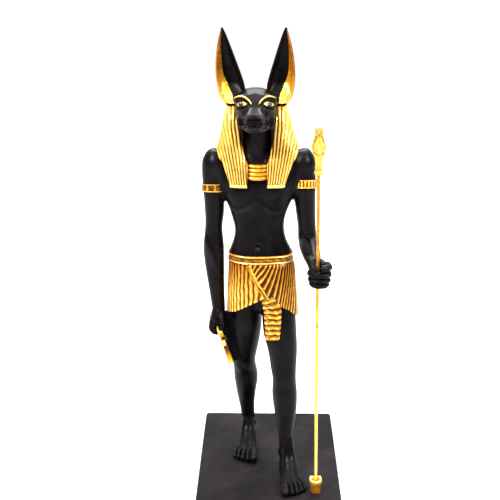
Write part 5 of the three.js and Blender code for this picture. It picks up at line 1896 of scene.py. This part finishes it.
@dataclass
class Studio:
    """A pale floor, soft light and a camera where the photograph's was."""

    eye: Row = (-0.00285, -0.6092, 0.352)
    pitch: float = 17.52
    yaw: float = -0.91
    lens: float = 72.0
    front_light: float = 0.05
    floor_size: float = 1.5
    back_light: float = 1.05
    floor_tone: tuple[float, float, float] = (0.5, 0.5, 0.5)

    def floor(self) -> Thing:
        """Lays the floor."""
        bpy.ops.object.select_all(action="DESELECT")
        bpy.ops.mesh.primitive_circle_add(vertices=96, radius=self.floor_size, fill_type="NGON", location=(0, 0, 0))
        made = bpy.context.object
        made.name = "floor"
        made.data.materials.append(Nodes("pale_floor").dress(base_color=(*self.floor_tone, 1.0), roughness=0.9))
        return made

    def lamp(self, name: str, place: Row, aim: Row, size: float, power: float) -> None:
        """Hangs a soft square lamp.

        Args:
            name: The lamp's name.
            place: Where it hangs.
            aim: What it shines at.
            size: The length of its sides.
            power: Its power in watts.
        """
        data = bpy.data.lights.new(name, "AREA")
        data.size, data.energy = size, power
        made = bpy.data.objects.new(name, data)
        made.location = place
        made.rotation_euler = (Vector(aim) - Vector(place)).to_track_quat("-Z", "Y").to_euler()
        bpy.context.scene.collection.objects.link(made)

    def camera(self) -> None:
        """Stands the camera at the photograph's angle."""
        data = bpy.data.cameras.new("camera")
        data.lens, data.sensor_width = self.lens, 36.0
        data.clip_start, data.clip_end = 0.01, 50
        made = bpy.data.objects.new("camera", data)
        made.location = self.eye
        down, side = math.radians(self.pitch), math.radians(self.yaw)
        ahead = Vector((math.sin(side) * math.cos(down), math.cos(side) * math.cos(down), -math.sin(down)))
        made.rotation_euler = ahead.to_track_quat("-Z", "Y").to_euler()
        bpy.context.scene.collection.objects.link(made)
        bpy.context.scene.camera = made

    def build(self) -> None:
        """Sets up the floor, the light and the camera."""
        self.floor()
        world = bpy.data.worlds.new("studio")
        world.use_nodes = True
        tree = world.node_tree
        heading = tree.nodes.new("ShaderNodeTexCoord").outputs["Generated"]
        parts = tree.nodes.new("ShaderNodeSeparateXYZ")
        level = tree.nodes.new("ShaderNodeMapRange")
        level.interpolation_type = "SMOOTHSTEP"
        for name, value in (("From Min", -0.1), ("From Max", 0.5), ("To Min", self.front_light), ("To Max", self.back_light)):
            level.inputs[name].default_value = value
        tree.links.new(heading, parts.inputs[0])
        tree.links.new(parts.outputs["Y"], level.inputs["Value"])
        tree.links.new(level.outputs["Result"], tree.nodes["Background"].inputs["Strength"])
        tree.nodes["Background"].inputs["Color"].default_value = (1.0, 1.0, 1.0, 1.0)
        bpy.context.scene.world = world
        self.lamp("key", (-0.5, -0.62, 0.95), (0, 0, 0.16), 0.2, 24)
        self.lamp("fill", (0.7, -0.45, 0.75), (0, 0, 0.16), 0.2, 13)
        self.lamp("top", (0.0, 0.1, 1.1), (0, 0, 0.1), 1.6, 26)
        self.lamp("back", (0.0, 0.95, 1.25), (0, 0.75, 0), 1.0, 34)
        bpy.context.scene.view_settings.view_transform = "Standard"
        self.camera()


def main() -> None:
    """Builds the statuette and the studio round it."""
    logging.basicConfig(level=logging.INFO, format="%(message)s")
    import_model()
    figure = Figure()
    eyes = tuple(tuple(p + q for p, q in zip(spot, FIGURE_PLACE)) for spot in figure.head.eyes)
    FINISHES.extend([SatinResin().material(), AntiqueGold().material(), PaintedEye(eyes).material()])
    Studio().build()
    pieces = [Slab().build(), *Staff().build()]
    ankh = Clay.placed(figure.ankh.solid())
    ankh.name = ankh.data.name = "ankh_cast"
    Clay.choose(ankh)
    bpy.ops.object.shade_smooth_by_angle(angle=math.radians(35))
    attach(ankh, "root")
    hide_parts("ankh")
    pieces += [ankh, figure.build()]
    for piece in pieces:
        piece.data.calc_loop_triangles()
        log.info("%s: %d triangles", piece.name, len(piece.data.loop_triangles))


if __name__ == "__main__":
    main()
